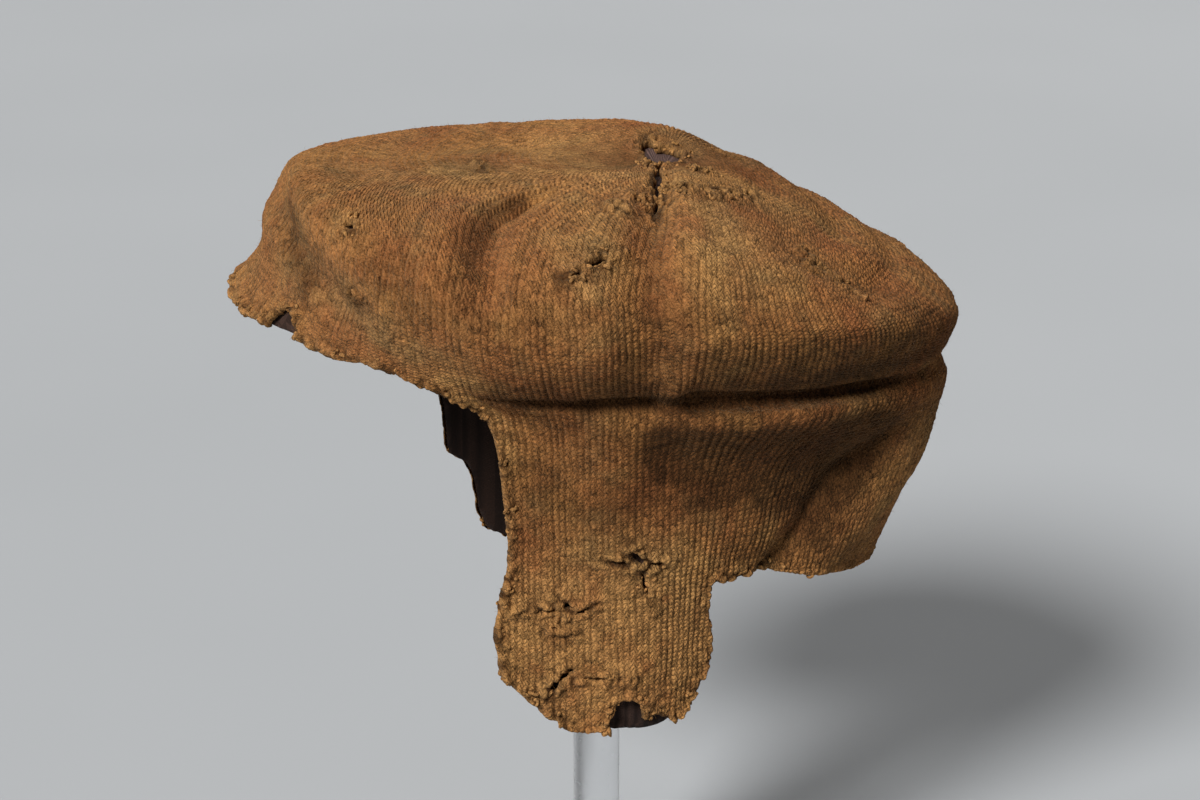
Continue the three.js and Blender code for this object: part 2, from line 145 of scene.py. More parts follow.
# %% Folds and dents
FOLDS = [  # from and to as (angle, level), half width as (degrees, levels), depth in mm
    ((90, 1.3), (94, 4.7), (5.5, 0.5), -4.5),  # the long pleat above the ear
    ((78.5, 2.0), (83.5, 4.2), (6.5, 0.6), 2),
    ((101, 1.6), (106, 3.9), (7, 0.6), 2.5),
    ((48, 1.75), (61.5, 3.2), (3.5, 0.32), -6.5),  # the dent at the temple
    ((43, 2.2), (52, 3.5), (5, 0.5), 3),
    ((1, 3.45), (30, 4.4), (7, 0.4), -5),
    ((-20, 3.6), (-28, 5.0), (8, 0.5), -3),
    ((3, 2.3), (-26, 1.3), (12, 0.3), -3),
    ((136, 1.9), (149, 2.6), (8, 0.35), -3.5),
    ((158, 2.0), (157, 3.0), (7, 0.5), 1.5),
    ((158, 1.12), (222, 1.12), (12, 0.2), -2.6),  # three shallow dips along the back of the crown
    ((162, 1.86), (220, 1.86), (11, 0.2), -2.6),
    ((162, 2.6), (210, 2.6), (10, 0.2), -2.2),
    ((-130, 1.8), (-150, 3.2), (10, 0.5), -3),
    ((68, 6.0), (93, 5.95), (6, 0.2), -3),  # the crease at its deepest
    ((106, 5.7), (148, 6.0), (7, 0.22), -3),
    ((99.5, 5.2), (99.5, 6.2), (3.5, 0.5), 2.5),  # a short ridge across the crease
    ((108, 6.25), (141, 6.7), (9, 0.25), 2.5),
    ((104, 7.35), (147, 7.85), (11, 0.5), -7.5),  # the hollow under the crease
    ((-95, 7.8), (-138, 7.8), (16, 0.6), -4),
    ((134, 8.9), (158, 7.5), (3, 0.16), -3.5),  # the fold line across the neck flap
    ((150, 8.8), (169, 7.9), (8, 0.45), 4),
    ((-134, 8.9), (-156, 7.3), (8, 0.4), 3),
    ((176, 7.0), (184, 7.0), (16, 0.5), 2),
]


def fold_depth(angle, level, folds):
    total = np.zeros(len(angle))
    for (from_angle, from_level), (to_angle, to_level), (wide, tall), depth in folds:
        across = wrapped(angle - from_angle) / wide
        down = (level - from_level) / tall
        line = np.array([(to_angle - from_angle) / wide, (to_level - from_level) / tall])
        share = np.clip((across * line[0] + down * line[1]) / (line @ line), 0, 1)
        away = (across - share * line[0]) ** 2 + (down - share * line[1]) ** 2
        total += depth * np.exp(-away)
    return total


def outward(angle, level):
    """The wall's own normal, from four neighbouring points."""
    near = np.maximum(level, 0.02)
    round_head = smooth_point(angle + 1, near) - smooth_point(angle - 1, near)
    down_cloth = smooth_point(angle, near + 0.02) - smooth_point(angle, near - 0.02)
    normal = np.cross(down_cloth, round_head)
    normal[level <= 0.02] = (0, 0, 1)
    return normal / np.linalg.norm(normal, axis=1, keepdims=True)


def wall_point(angle, level, depth=0.0):
    """A point of the folded cloth, moved in from its outer face by depth."""
    moved = fold_depth(angle, level, FOLDS) * np.minimum(1, level) - depth
    return smooth_point(angle, level) + outward(angle, level) * moved[:, None]


test_angles = np.arange(0.0, 360.0, 30.0)
test_wall = wall_point(test_angles, np.full(12, 3.0))
print("the wall's reach at ring 3, mm:", np.ptp(test_wall, axis=0).round(1).tolist())

# %% [markdown]
# Stockinette, the plainest knitting, is made of columns of stitches called wales, and of
# rounds called courses. In this cap the wales run from the middle of the crown, over the
# rim, down to the hem. As the crown narrows, the knitter merges two wales out of four into
# one, now here, now there. A bump map could fake all of this, but the ribs also show along
# the edges and in raking light, so wales and courses are counted here and become geometry.

# %% Counting courses and wales
COURSE = 2.0  # mm from one round of stitches to the next
CROWN_WALES = 288  # at the rim, about 2.7 mm each
SKIRT_WALE = 2.8  # mm, about the width of a wale below the crease
EAR = 92.0  # degrees from the front

fine_levels = np.linspace(0, 11, 2201)


def running_length(points):
    steps = np.linalg.norm(np.diff(points, axis=0), axis=1)
    return np.concatenate([[0], np.cumsum(steps)])


down_the_ear = running_length(smooth_point(np.full(len(fine_levels), EAR), fine_levels))
turn_angles = np.arange(-180, 180.25, 0.5)


def round_the_head(level):
    """Length along one ring, from the nape by the right side, at every half degree."""
    return running_length(smooth_point(turn_angles, np.full(len(turn_angles), level)))


rim_length = round_the_head(RIM)
crease_length = round_the_head(CREASE)
skirt_wales = round(crease_length[-1] / SKIRT_WALE)
SKIRT_PITCH = crease_length[-1] / skirt_wales  # mm, from wale to wale below the crease


def course_at(level):
    return np.interp(level, fine_levels, down_the_ear) / COURSE


def level_of_course(course):
    return np.interp(course * COURSE, down_the_ear, fine_levels)


def crown_share_at(angle):
    """The share of the way round the rim, from 0 to 1."""
    return np.interp(wrapped(angle), turn_angles, rim_length / rim_length[-1])


def crease_length_at(angle):
    return np.interp(wrapped(angle), turn_angles, crease_length)


def skirt_wale_at(angle):
    return crease_length_at(angle) / SKIRT_PITCH


print("rim", rim_length[-1].round(), "mm, crease", crease_length[-1].round(), "mm round")

# %% [markdown]
# Wool is never even. Value noise gives that: random numbers on a grid in space, blended
# smoothly between its corners. Blender has such a noise in its shader nodes, and the same
# idea in a few lines of array code moves real vertices. One seeded table makes it repeat.

# %% Noise for the cloth
rng = np.random.default_rng(1907)
noise_table = rng.random(4096)


def cell_number(cell):
    """One large number for each cell of a grid, so mixed that neighbours are unlike."""
    return cell[:, 0] * 73856093 ^ cell[:, 1] * 19349663 ^ cell[:, 2] * 83492791


def noise(points, size, shift=0):
    """Smooth noise from -1 to 1 with lumps about as large as size, in millimetres."""
    places = points / size + shift * 7.31
    corner = np.floor(places).astype(np.int64)
    part = places - corner
    part = part * part * (3 - 2 * part)
    total = np.zeros(len(points))
    for dx in (0, 1):
        for dy in (0, 1):
            for dz in (0, 1):
                cell = corner + (dx, dy, dz)
                key = cell_number(cell) ^ shift * 2654435
                weight = np.prod(np.where((dx, dy, dz), part, 1 - part), axis=1)
                total += noise_table[key % len(noise_table)] * weight
    return 2 * total - 1


print("noise spreads over", noise(smooth_point(turn_angles, np.full(len(turn_angles), 4.0)), 9).round(2)[:3])

# %% [markdown]
# The hem is one long line: the peak, an ear flap, the neck flap and the other ear flap. It
# is drawn on the cloth as if the cloth were unrolled, with the length round the head one
# way and the height the other. Cutting a fine mesh along such a line keeps every stitch in
# place up to the very edge, which bending a coarse grid into the flap's shape would not.

# %% Outline of the hem
NECK_EDGE = [(120, -76.6), (132, -76.5), (147, -81), (160, -87), (172, -90), (180, -91)]
PEAK_NEAR = [(0, 27), (8, 26.5), (20, 26), (30, 22.5), (40, 20), (47, 13.2), (52.5, 6.5)]
PEAK_FAR = [(0, 27), (-8, 26.5), (-18, 25), (-28, 22), (-36, 17), (-41, 11)]
NEAR_FLAP = {
    "front": [(55.8, -2), (57.2, -13), (58.2, -35), (58.9, -59), (57.4, -75), (56.4, -92), (58, -110)],
    "end": [(58, -110), (62.8, -119), (66.8, -125.4), (75, -133), (84, -134.5), (95, -136.4),
            (104, -135.5), (110, -129.5), (115, -120), (118, -109)],
    "back": [(118, -109), (118, -100), (116, -87), (116, -76)],
}
FAR_FLAP = {
    "front": [(44.6, 0), (47.6, -22), (50.3, -46), (51, -60), (51.6, -73), (54.6, -77.5), (56, -85.5),
              (57, -99)],
    "end": [(57, -99), (59, -108), (63, -111.5), (68, -116), (76, -123), (86, -127), (97, -127),
            (106, -123), (112, -115), (117, -104)],
    "back": [(117, -104), (118, -95), (117, -84), (116, -76)],
}
NAPE_MARGIN = 12  # mm by which the hem's line goes on past the nape at both ends
HEM_LEVEL = 4.7  # no part of the hem is further up the cloth
NAPE_START = 62  # mm behind the post, where the firm hem of the neck flap begins
FLAP_END = -93  # mm from the crease, below which the flaps are worst frayed
CHUNK = 8000  # points worked out at a time, to save memory


def smoothed(edge):
    knots = np.arange(len(edge))
    at = np.linspace(0, len(edge) - 1, 6 * (len(edge) - 1) + 1)
    return np.stack([curve_through(knots, [p[i] for p in edge], at) for i in (0, 1)], axis=1)


def other_side(edge):
    return [(-angle, height) for angle, height in edge[::-1]]


hem = np.concatenate([smoothed(edge) for edge in [
    other_side(NECK_EDGE + [(186, -91)]),
    other_side(FAR_FLAP["back"]), other_side(FAR_FLAP["end"]), other_side(FAR_FLAP["front"]),
    PEAK_FAR[::-1], PEAK_NEAR,
    NEAR_FLAP["front"], NEAR_FLAP["end"], NEAR_FLAP["back"], NECK_EDGE + [(186, -91)],
]])
past_nape = np.abs(hem[:, 0]) > 180
hem_across = np.interp(hem[:, 0], turn_angles, crease_length)
hem_across[past_nape] += np.sign(hem[past_nape, 0]) * NAPE_MARGIN
hem_line = np.stack([hem_across, hem[:, 1]], axis=1)
print("hem length, mm:", running_length(hem_line)[-1].round())


def inside_hem(angle, level, noisy=0.8):
    """Distance in mm from the hem, less than 0 beyond it. Far above the hem it is 99."""
    distance = np.full(len(angle), 99.0)
    low = np.flatnonzero(level > HEM_LEVEL)
    points = smooth_point(angle[low], level[low])
    place = np.stack([crease_length_at(angle[low]), points[:, 2]], axis=1)
    rough = noisy * np.where(points[:, 2] < FLAP_END, 1.8, 1) * np.where(points[:, 1] > NAPE_START, 0.35, 1)
    place[:, 1] += rough * (noise(points, 4.5, 3) + 0.6 * noise(points, 1.9, 4))
    start, step = hem_line[:-1], np.diff(hem_line, axis=0)
    square = np.maximum((step**2).sum(axis=1), 1e-9)
    for chunk in np.array_split(np.arange(len(low)), len(low) // CHUNK + 1):
        offset = place[chunk, None, :] - start
        share = np.clip((offset * step).sum(axis=2) / square, 0, 1)
        away = np.sqrt(((offset - share[..., None] * step) ** 2).sum(axis=2)).min(axis=1)
        spans = (offset[..., 0] >= 0) != (offset[..., 0] - step[:, 0] >= 0)
        height = start[:, 1] + step[:, 1] * offset[..., 0] / np.where(step[:, 0], step[:, 0], 1)
        below = (spans & (height > place[chunk, None, 1])).sum(axis=1) % 2 == 1
        distance[low[chunk]] = np.where(below, -away, away)
    return distance


# %% [markdown]
# Moths eat wool from the outside, and a stitch that is cut lets its neighbours curl into
# little loops. So each hole is a rough oval with a raised, knobbly lip, and behind it lies
# the lining. Slits are ovals that are long and narrow. Their places follow the old cap on
# the side that is seen, and a few small ones are spread over the side that is not.

# %% Moth holes and slits
HOLES = [  # angle, level, length along the wale, width across it, both mm, turn in degrees
    (-105, 0.2, 16, 15, 0), (-78, 0.36, 15, 6, -10), (62, 0.12, 11, 4, 0),  # the top of the crown
    (82, 0.42, 18, 3.4, 0), (85, 0.85, 17, 3.8, 8), (87.5, 1.2, 15, 3, 12), (89.5, 1.42, 8, 2, 0),
    (129, 0.74, 5, 6, 0),
    (95, 1.18, 2.2, 3.4, 0), (102, 1.3, 2.6, 3.6, 0), (110.5, 1.28, 2, 3.2, 0), (119, 1.24, 3, 4, 0),
    (127, 1.24, 2, 3, 0), (136, 1.24, 2.6, 3.6, 0),
    (77.5, 1.66, 3.0, 6.5, -25), (82, 1.46, 2, 4, -20),
    (79.7, 2.55, 10, 2.4, -40), (76.4, 2.77, 5.5, 1.6, -40),
    (29, 2.98, 3.2, 5, 20),
    (34.5, 4.16, 1.4, 1.8, 0),
    (20.5, 6.35, 17, 15, 0),  # the notch in the peak
    (9.5, 1.42, 1.2, 5, 0),
    (92.3, 8.53, 7, 2.6, 35), (86.5, 8.57, 1.2, 5, 0), (98, 8.62, 1.4, 4.5, 8), (94.5, 8.84, 10, 1.8, 12),
    (67, 9.08, 1.1, 9, 4), (73, 9.02, 2.4, 4.6, -15), (76.3, 9.09, 1.3, 4, 30), (69.8, 9.27, 1, 3.5, -20),
    (69.4, 9.95, 6, 2.6, -30), (71.8, 9.83, 5.5, 2, -60), (73.6, 9.77, 2.4, 3, 0),
    (81, 9.9, 1.1, 13, -3),
    (90, 10.52, 24, 14, 8), (97, 10.72, 20, 24, 0),  # the notch in the near flap
    (141.3, 2.25, 14, 1.3, 18), (137, 2.1, 3, 1.4, 20),
    (-72, 2.5, 3, 6, 15), (-128, 1.9, 2.6, 4, 0), (-108, 8.4, 5, 2.4, 20), (-84, 9.95, 3, 7, 10),
    (-166, 3.2, 2, 3.4, 0), (-28, 3.3, 2, 4, 30),
]
LIP_REACH = 9.0  # mm round a hole within which its lip is worked out


def hole_frame(angle, level, turn):
    """The middle of a hole with the directions along and across it."""
    angle, level = np.array([float(angle)]), np.array([float(level)])
    middle = wall_point(angle, level)[0]
    facing = outward(angle, level)[0]
    along = (smooth_point(angle, level + 0.05) - smooth_point(angle, level))[0]
    along -= facing * (along @ facing)
    along /= np.linalg.norm(along)
    across = np.cross(facing, along)
    cos, sin = np.cos(np.radians(turn)), np.sin(np.radians(turn))
    return middle, cos * along + sin * across, cos * across - sin * along


hole_frames = [hole_frame(hole[0], hole[1], hole[4]) for hole in HOLES]


def outside_holes(points):
    """Distance in mm from the nearest hole, less than 0 in it, and 99 far from any."""
    distance = np.full(len(points), 99.0)
    for (_, _, length, width, _), (middle, along, across) in zip(HOLES, hole_frames):
        near = np.flatnonzero(np.linalg.norm(points - middle, axis=1) < LIP_REACH + length / 2 + width / 2)
        offset = points[near] - middle
        scaled = np.hypot(offset @ along / (length / 2), offset @ across / (width / 2))
        ragged = 0.55 * noise(points[near], 2.2, 5) + 0.3 * noise(points[near], 1.1, 6)
        away = (scaled - 1) * min(length, width) / 2 * np.where(scaled > 1, 1.25, 1)
        away += ragged * min(1, min(length, width) / 3)
        away += 1.7 * noise(points[near], 5, 12) * np.clip(min(length, width) / 12 - 0.4, 0, 1)
        distance[near] = np.minimum(distance[near], away)
    return distance


print(len(HOLES), "holes and slits")

# %% [markdown]
# Now the knitting itself. Its mesh is laid along the yarn: four points across each wale and
# three for each course, so that a stitch is a small V of real geometry. A grid over a plane
# and a shrinkwrap would be quicker to set up, but its squares would not follow the wales.

# %% Wales that lean and waver
LEAN_ANGLES = [0, 20, 42, 55, 70, 90, 120, 150, 180]
LEANS = [0, 8.5, 16.5, 15, 8.5, 2.5, -1.5, -2, 0]  # degrees by which the wales lean to the front there
LEAN_LEVEL, LEAN_SPREAD = 1.5, 1.0
CREASE_LEAN = 8.0  # degrees by which they lean to the nape where the rim turns under


def soft_spot(angle, level, at_angle, at_level, wide, tall):
    across = wrapped(angle - at_angle) / wide
    return np.exp(-(across**2) - ((level - at_level) / tall) ** 2)


def lean(angle, level):
    """The wales of the sides run up side by side before they turn to the middle."""
    turned = wrapped(angle)
    to_front = np.sign(turned) * curve_through(LEAN_ANGLES, LEANS, np.abs(turned))
    on_top = np.exp(-(((level - LEAN_LEVEL) / LEAN_SPREAD) ** 2))
    below = soft_spot(angle, level, 138, 6.2, 25, 1.4) - soft_spot(angle, level, -138, 6.2, 25, 1.4)
    return CREASE_LEAN * below - to_front * on_top


def wavering(angle, level):
    """The angle as it leans and moves to and fro, since no wale of washed wool runs straight."""
    points = smooth_point(angle, level)
    radius = np.maximum(np.hypot(points[:, 0], points[:, 1] - 10), 12)
    shift = 0.8 * noise(points, 26, 60) + 0.5 * noise(points, 6, 61)
    return angle + lean(angle, level) + np.degrees(shift / radius) * np.minimum(1, level)


# %% Wales that merge
ROWS_PER_COURSE = 3
POINTS_PER_WALE = 4
DART_LENGTH = 6.0  # mm over which a merged wale tapers away
DART_SPREAD = 10.0  # mm over which the merging places are scattered
zone_ends = [520.0, 340.0, 0.0]  # mm round the crown where each zone stops
zone_wales = [CROWN_WALES * 3**k // 4**k for k in range(len(zone_ends))]
dart_shift = rng.random((len(zone_ends), CROWN_WALES)) * DART_SPREAD

crown_levels = fine_levels[:801:20]  # from the middle of the crown to its rim
round_at = np.array([round_the_head(level)[-1] for level in crown_levels])
zone_courses = [float(course_at(np.interp(end, round_at, crown_levels))) for end in zone_ends]


def merged_wale(angle, level, zone):
    """The wale's number, counted round one zone, where each fourth wale tapers away."""
    wale = crown_share_at(angle) * zone_wales[zone]
    if zone == len(zone_wales) - 1:
        return wale
    group = np.floor(wale / 4)
    place = wale - 4 * group
    above = (course_at(level) - zone_courses[zone]) * COURSE
    start = dart_shift[zone][group.astype(int) % CROWN_WALES]
    taper = 1 - np.clip((above - start) / DART_LENGTH, 0, 1)
    wide = 3 + taper
    last = 3 + (place - wide) / np.maximum(4 - wide, 0.02)
    return 4 * group + np.where(place < wide, place * 3 / wide, np.minimum(last, 4))


# %% Rows of stitches on the crown
CROWN_END = 7.4  # the crown's cloth goes on to here under the skirt


def quads(a, b, c, d):
    """Two triangles for every square whose corners are given in order."""
    return np.concatenate([np.stack([a, b, c], 1), np.stack([a, c, d], 1)])


def crown_grid(last_level):
    """Rings of points from the middle of the crown down, with triangles between them."""
    last_row = int(course_at(last_level) * ROWS_PER_COURSE)
    angles, levels, starts, zones = [np.zeros(1)], [np.zeros(1)], [0], [len(zone_ends) - 1]
    for row in range(1, last_row + 1):
        course = row / ROWS_PER_COURSE
        zone = next(k for k, end in enumerate(zone_courses) if course >= end)
        count = zone_wales[zone] * POINTS_PER_WALE
        share = np.arange(count) / count * rim_length[-1]
        starts.append(starts[-1] + len(angles[-1]))
        angles.append(np.interp(share, rim_length, turn_angles))
        levels.append(np.full(count, float(level_of_course(course))))
        zones.append(zone)
    faces, face_zones = [], []
    for row in range(1, last_row + 1):
        upper, lower = len(angles[row - 1]), len(angles[row])
        if upper == 1:
            i = np.arange(lower)
            block = np.stack([np.zeros(lower, int), starts[row] + i, starts[row] + (i + 1) % lower], 1)
        elif upper == lower:
            i = np.arange(lower)
            j = (i + 1) % lower
            block = quads(starts[row - 1] + i, starts[row] + i, starts[row] + j, starts[row - 1] + j)
        else:
            block = zipped(starts[row - 1], upper, starts[row], lower)
        faces.append(block)
        face_zones.append(np.full(len(block), zones[row]))
    return np.concatenate(angles), np.concatenate(levels), np.concatenate(faces), np.concatenate(face_zones)


def zipped(upper_start, upper, lower_start, lower):
    """Triangles between two closed rings that have different numbers of points."""
    block = []
    i = j = 0
    while i < upper or j < lower:
        a, b = upper_start + i % upper, lower_start + j % lower
        if (j + 1) * upper <= (i + 1) * lower and j < lower:
            block.append((a, b, lower_start + (j + 1) % lower))
            j += 1
        else:
            block.append((a, b, upper_start + (i + 1) % upper))
            i += 1
    return np.array(block)


crown_angle, crown_level, crown_faces, crown_zones = crown_grid(CROWN_END)
print("crown grid:", len(crown_angle), "points,", len(crown_faces), "triangles")

# %% Rows of stitches below the crease
SKIRT_TOP, SKIRT_END = 5.72, 10.75
NEAR_JOINT, FAR_JOINT = 56.0, 44.0  # degrees from the front, where peak and flaps meet


def past_joint(angle):
    """Degrees from the joint of peak and flap, more than 0 on the flap's side."""
    turned = wrapped(angle)
    return np.where(turned > 0, turned - NEAR_JOINT, -turned - FAR_JOINT)


def skirt_grid():
    """The cloth below the crease, from the near flap round the nape to the far flap."""
    first = skirt_wale_at(np.array([NEAR_JOINT - 2]))[0]
    last = skirt_wale_at(np.array([2 - FAR_JOINT]))[0] + skirt_wales
    columns = np.arange(np.floor(first * POINTS_PER_WALE), np.ceil(last * POINTS_PER_WALE) + 1)
    along = columns / POINTS_PER_WALE * SKIRT_PITCH % crease_length[-1]
    rows = np.arange(int(course_at(SKIRT_TOP) * ROWS_PER_COURSE), int(course_at(SKIRT_END) * ROWS_PER_COURSE))
    wide, tall = len(columns), len(rows)
    angle = np.tile(np.interp(along, crease_length, turn_angles), tall)
    level = np.repeat(level_of_course(rows / ROWS_PER_COURSE), wide)
    a = (np.arange(tall - 1)[:, None] * wide + np.arange(wide - 1)).ravel()
    return angle, level, quads(a, a + wide, a + wide + 1, a + 1)


skirt_angle, skirt_level, skirt_faces = skirt_grid()
print("skirt grid:", len(skirt_angle), "points,", len(skirt_faces), "triangles")

# %% [markdown]
# A boolean could cut the holes, but booleans on half a million tiny triangles are slow and
# leave slivers. Every point already knows how far it is from the hem and from the holes, so
# each triangle that the zero line crosses is simply split where the distance passes zero.

# %% Cutting the mesh along a distance
SMALLEST_PATCH = 2000  # triangles


def in_large_patch(faces):
    """Which faces belong to the cloth, and not to a crumb that a cut has left by itself."""
    patch = np.arange(faces.max() + 1)
    while True:
        lowest = patch.copy()
        np.minimum.at(lowest, faces, patch[faces].min(axis=1)[:, None])
        lowest = lowest[lowest]
        if (lowest == patch).all():
            size = np.bincount(patch[faces[:, 0]])
            return size[patch[faces[:, 0]]] > SMALLEST_PATCH
        patch = lowest


def cut_away(angle, level, faces, distance, face_notes):
    """Keeps what has a distance above 0, splitting the triangles that the line crosses."""
    inside = distance > 0
    kept = inside[faces].sum(axis=1)
    whole, crossed = faces[kept == 3], np.flatnonzero((kept == 1) | (kept == 2))
    edge_points, new_angle, new_level, new_faces, new_notes = {}, [], [], [], []

    def on_edge(a, b):
        key = (a, b) if a < b else (b, a)
        if key not in edge_points:
            share = distance[key[0]] / (distance[key[0]] - distance[key[1]])
            turned = wrapped(angle[key[1]] - angle[key[0]])
            new_angle.append(angle[key[0]] + share * turned)
            new_level.append(level[key[0]] + share * (level[key[1]] - level[key[0]]))
            edge_points[key] = len(angle) + len(edge_points)
        return edge_points[key]

    for face in crossed:
        a, b, c = faces[face]
        while inside[c] or not inside[a]:
            a, b, c = b, c, a
        if inside[b]:
            first, second = on_edge(b, c), on_edge(a, c)
            new_faces += [(a, b, first), (a, first, second)]
            new_notes += [face_notes[face]] * 2
        else:
            new_faces.append((a, on_edge(a, b), on_edge(a, c)))
            new_notes.append(face_notes[face])
    everything = np.concatenate([whole, np.array(new_faces, int).reshape(-1, 3)])
    notes = np.concatenate([face_notes[kept == 3], np.array(new_notes, int)])
    large = in_large_patch(everything)
    everything, notes = everything[large], notes[large]
    used, compact = np.unique(everything, return_inverse=True)
    all_angle = np.concatenate([angle, new_angle])[used]
    all_level = np.concatenate([level, new_level])[used]
    on_line = used >= len(angle)
    return all_angle, all_level, compact.reshape(-1, 3), notes, on_line


print("patches of up to", SMALLEST_PATCH, "triangles are left out")

# %% [markdown]
# The relief of the cloth has three parts. The ribs and stitches come first, and they fade
# where the wool is rubbed flat, such as on the peak. Then there are lumps, because fulling
# shrinks the cloth unevenly. Last comes the lip round every hole and along the hem, where
# cut loops stand up.

# %% Relief of stitches, lumps and lips
RIB_HEIGHT = 0.72
STITCH_HEIGHT = 0.17
LIP_HEIGHT = 0.7
BOBBLE_SIZE = 3.7
BOBBLE_HEIGHT = 2.2
BOBBLE_REACH = 5.0  # mm from an edge
NECK_TOP = -50  # mm from the crease, below which the neck flap's hem is firm
KNOBBLY = (84, 10.35, 34, 0.55)  # the matted end of the near flap, as a soft spot
KNOB_SIZE, KNOB_HEIGHT = 2.9, 0.9
FLAT_SPOTS = [  # where the ribs are rubbed flat: angle, level, half width in degrees, levels, share
    (8, 4.8, 36, 2.6, 0.75), (0, 0, 400, 0.55, 0.85), (140, 1.6, 30, 0.8, 0.5),
    (-20, 2.2, 40, 1.2, 0.3), (162, 8.0, 24, 1.6, 0.65), (-150, 7.5, 30, 1.5, 0.3),
]


def bobbles(points, size):
    """Round knobs from 0 to 1, one somewhere in each cube of a grid of the given size."""
    places = points / size
    corner = np.floor(places).astype(np.int64)
    nearest = np.full(len(points), 9.0)
    for step in np.ndindex(3, 3, 3):
        cell = corner + step - 1
        keys = [(cell_number(cell) + 101 * k) % len(noise_table) for k in range(3)]
        middle = cell + np.stack([noise_table[key] for key in keys], axis=1)
        nearest = np.minimum(nearest, np.linalg.norm(places - middle, axis=1))
    return np.sqrt(np.clip(1 - (nearest / 0.62) ** 2, 0, 1))


def fraying(points, edge):
    """How far the stitches have come undone near an edge, from 0 to 1."""
    firm_hem = (points[:, 1] > NAPE_START) & (points[:, 2] < NECK_TOP)
    loose = np.clip(0.8 + 0.9 * noise(points, 7, 10), 0, 1) * np.where(firm_hem, 0.25, 1)
    return np.exp(-((edge / BOBBLE_REACH) ** 2)) * loose


def relief(angle, level, wale, points, edge, crowded):
    """How far the surface stands out of the smooth cloth, in mm."""
    across = wale - np.floor(wale) - 0.5
    groove = 1 - np.cos(np.pi * across) ** 0.8
    groove *= 0.65 + 0.7 * noise_table[np.round(wale).astype(int) * 31 % len(noise_table)]
    stitch = np.cos(2 * np.pi * (course_at(level) - 1.3 * np.abs(across)))
    strength = 0.85 + 0.35 * noise(points, 12, 1)
    for at_angle, at_level, wide, tall, share in FLAT_SPOTS:
        strength *= 1 - share * soft_spot(angle, level, at_angle, at_level, wide, tall)
    frayed = fraying(points, edge)
    matted = soft_spot(angle, level, *KNOBBLY)
    strength *= crowded * (1 - 0.9 * frayed) * (1 - 0.5 * matted)
    height = strength * (RIB_HEIGHT * (1 - groove) + STITCH_HEIGHT * stitch * (1 - 0.6 * groove))
    height += 0.45 * noise(points, 10, 2) + 0.22 * noise(points, 3.6, 7) + 0.28 * noise(points, 1.5, 8)
    knobbly = np.flatnonzero(edge < 2 * BOBBLE_REACH)
    height[knobbly] += BOBBLE_HEIGHT * frayed[knobbly] * bobbles(points[knobbly], BOBBLE_SIZE)
    knobbly = np.flatnonzero(matted > 0.05)
    height[knobbly] += KNOB_HEIGHT * matted[knobbly] * bobbles(points[knobbly], KNOB_SIZE)
    height += LIP_HEIGHT * np.exp(-(((edge - 1.4) / 1.2) ** 2))
    return height - 0.55 * np.clip(1 - edge / 0.9, 0, 1) ** 2 - RIB_HEIGHT / 2


print("ribs", RIB_HEIGHT, "mm high and", round(SKIRT_PITCH, 2), "mm wide below the crease")

# %% Cloth with a thickness at its cut edges
EDGE_RINGS = [(0.9, 0.25), (1.9, 0.2), (2.9, -0.35)]  # depth and how far beyond the cut, mm


def edge_neighbours(faces, on_line):
    """The directed open edges whose two ends both lie on a cut."""
    edges = np.concatenate([faces[:, [0, 1]], faces[:, [1, 2]], faces[:, [2, 0]]])
    forward = edges[:, 0].astype(np.int64) * (faces.max() + 1) + edges[:, 1]
    backward = edges[:, 1].astype(np.int64) * (faces.max() + 1) + edges[:, 0]
    open_edges = edges[~np.isin(forward, backward)]
    return open_edges[on_line[open_edges].all(axis=1)]


def with_edges(points, normals, faces, on_line):
    """Adds a rolled wall along the cuts, and says where the cuts are and which way is out."""
    open_edges = edge_neighbours(faces, on_line)
    tangent = points[open_edges[:, 1]] - points[open_edges[:, 0]]
    beyond = np.zeros_like(points)
    for side in (0, 1):
        np.add.at(beyond, open_edges[:, side], np.cross(tangent, normals[open_edges[:, side]]))
    rim = np.unique(open_edges)
    beyond[rim] /= np.maximum(np.linalg.norm(beyond[rim], axis=1, keepdims=True), 1e-6)
    index = np.full(len(points), -1)
    index[rim] = np.arange(len(rim))
    all_points, all_faces = [points], [faces]
    previous = rim
    for k, (depth, out) in enumerate(EDGE_RINGS):
        wobble = 0.22 * noise(points[rim], 1.8, 11 + k)
        shifted = points[rim] - normals[rim] * depth + beyond[rim] * (out + wobble)[:, None]
        current = len(points) + k * len(rim) + np.arange(len(rim))
        a, b = index[open_edges[:, 0]], index[open_edges[:, 1]]
        all_faces.append(quads(previous[b], previous[a], current[a], current[b]))
        all_points.append(shifted)
        previous = current
    return np.concatenate(all_points), np.concatenate(all_faces), rim, beyond[rim], open_edges


print("an edge is", EDGE_RINGS[-1][0], "mm thick, in", len(EDGE_RINGS), "steps")
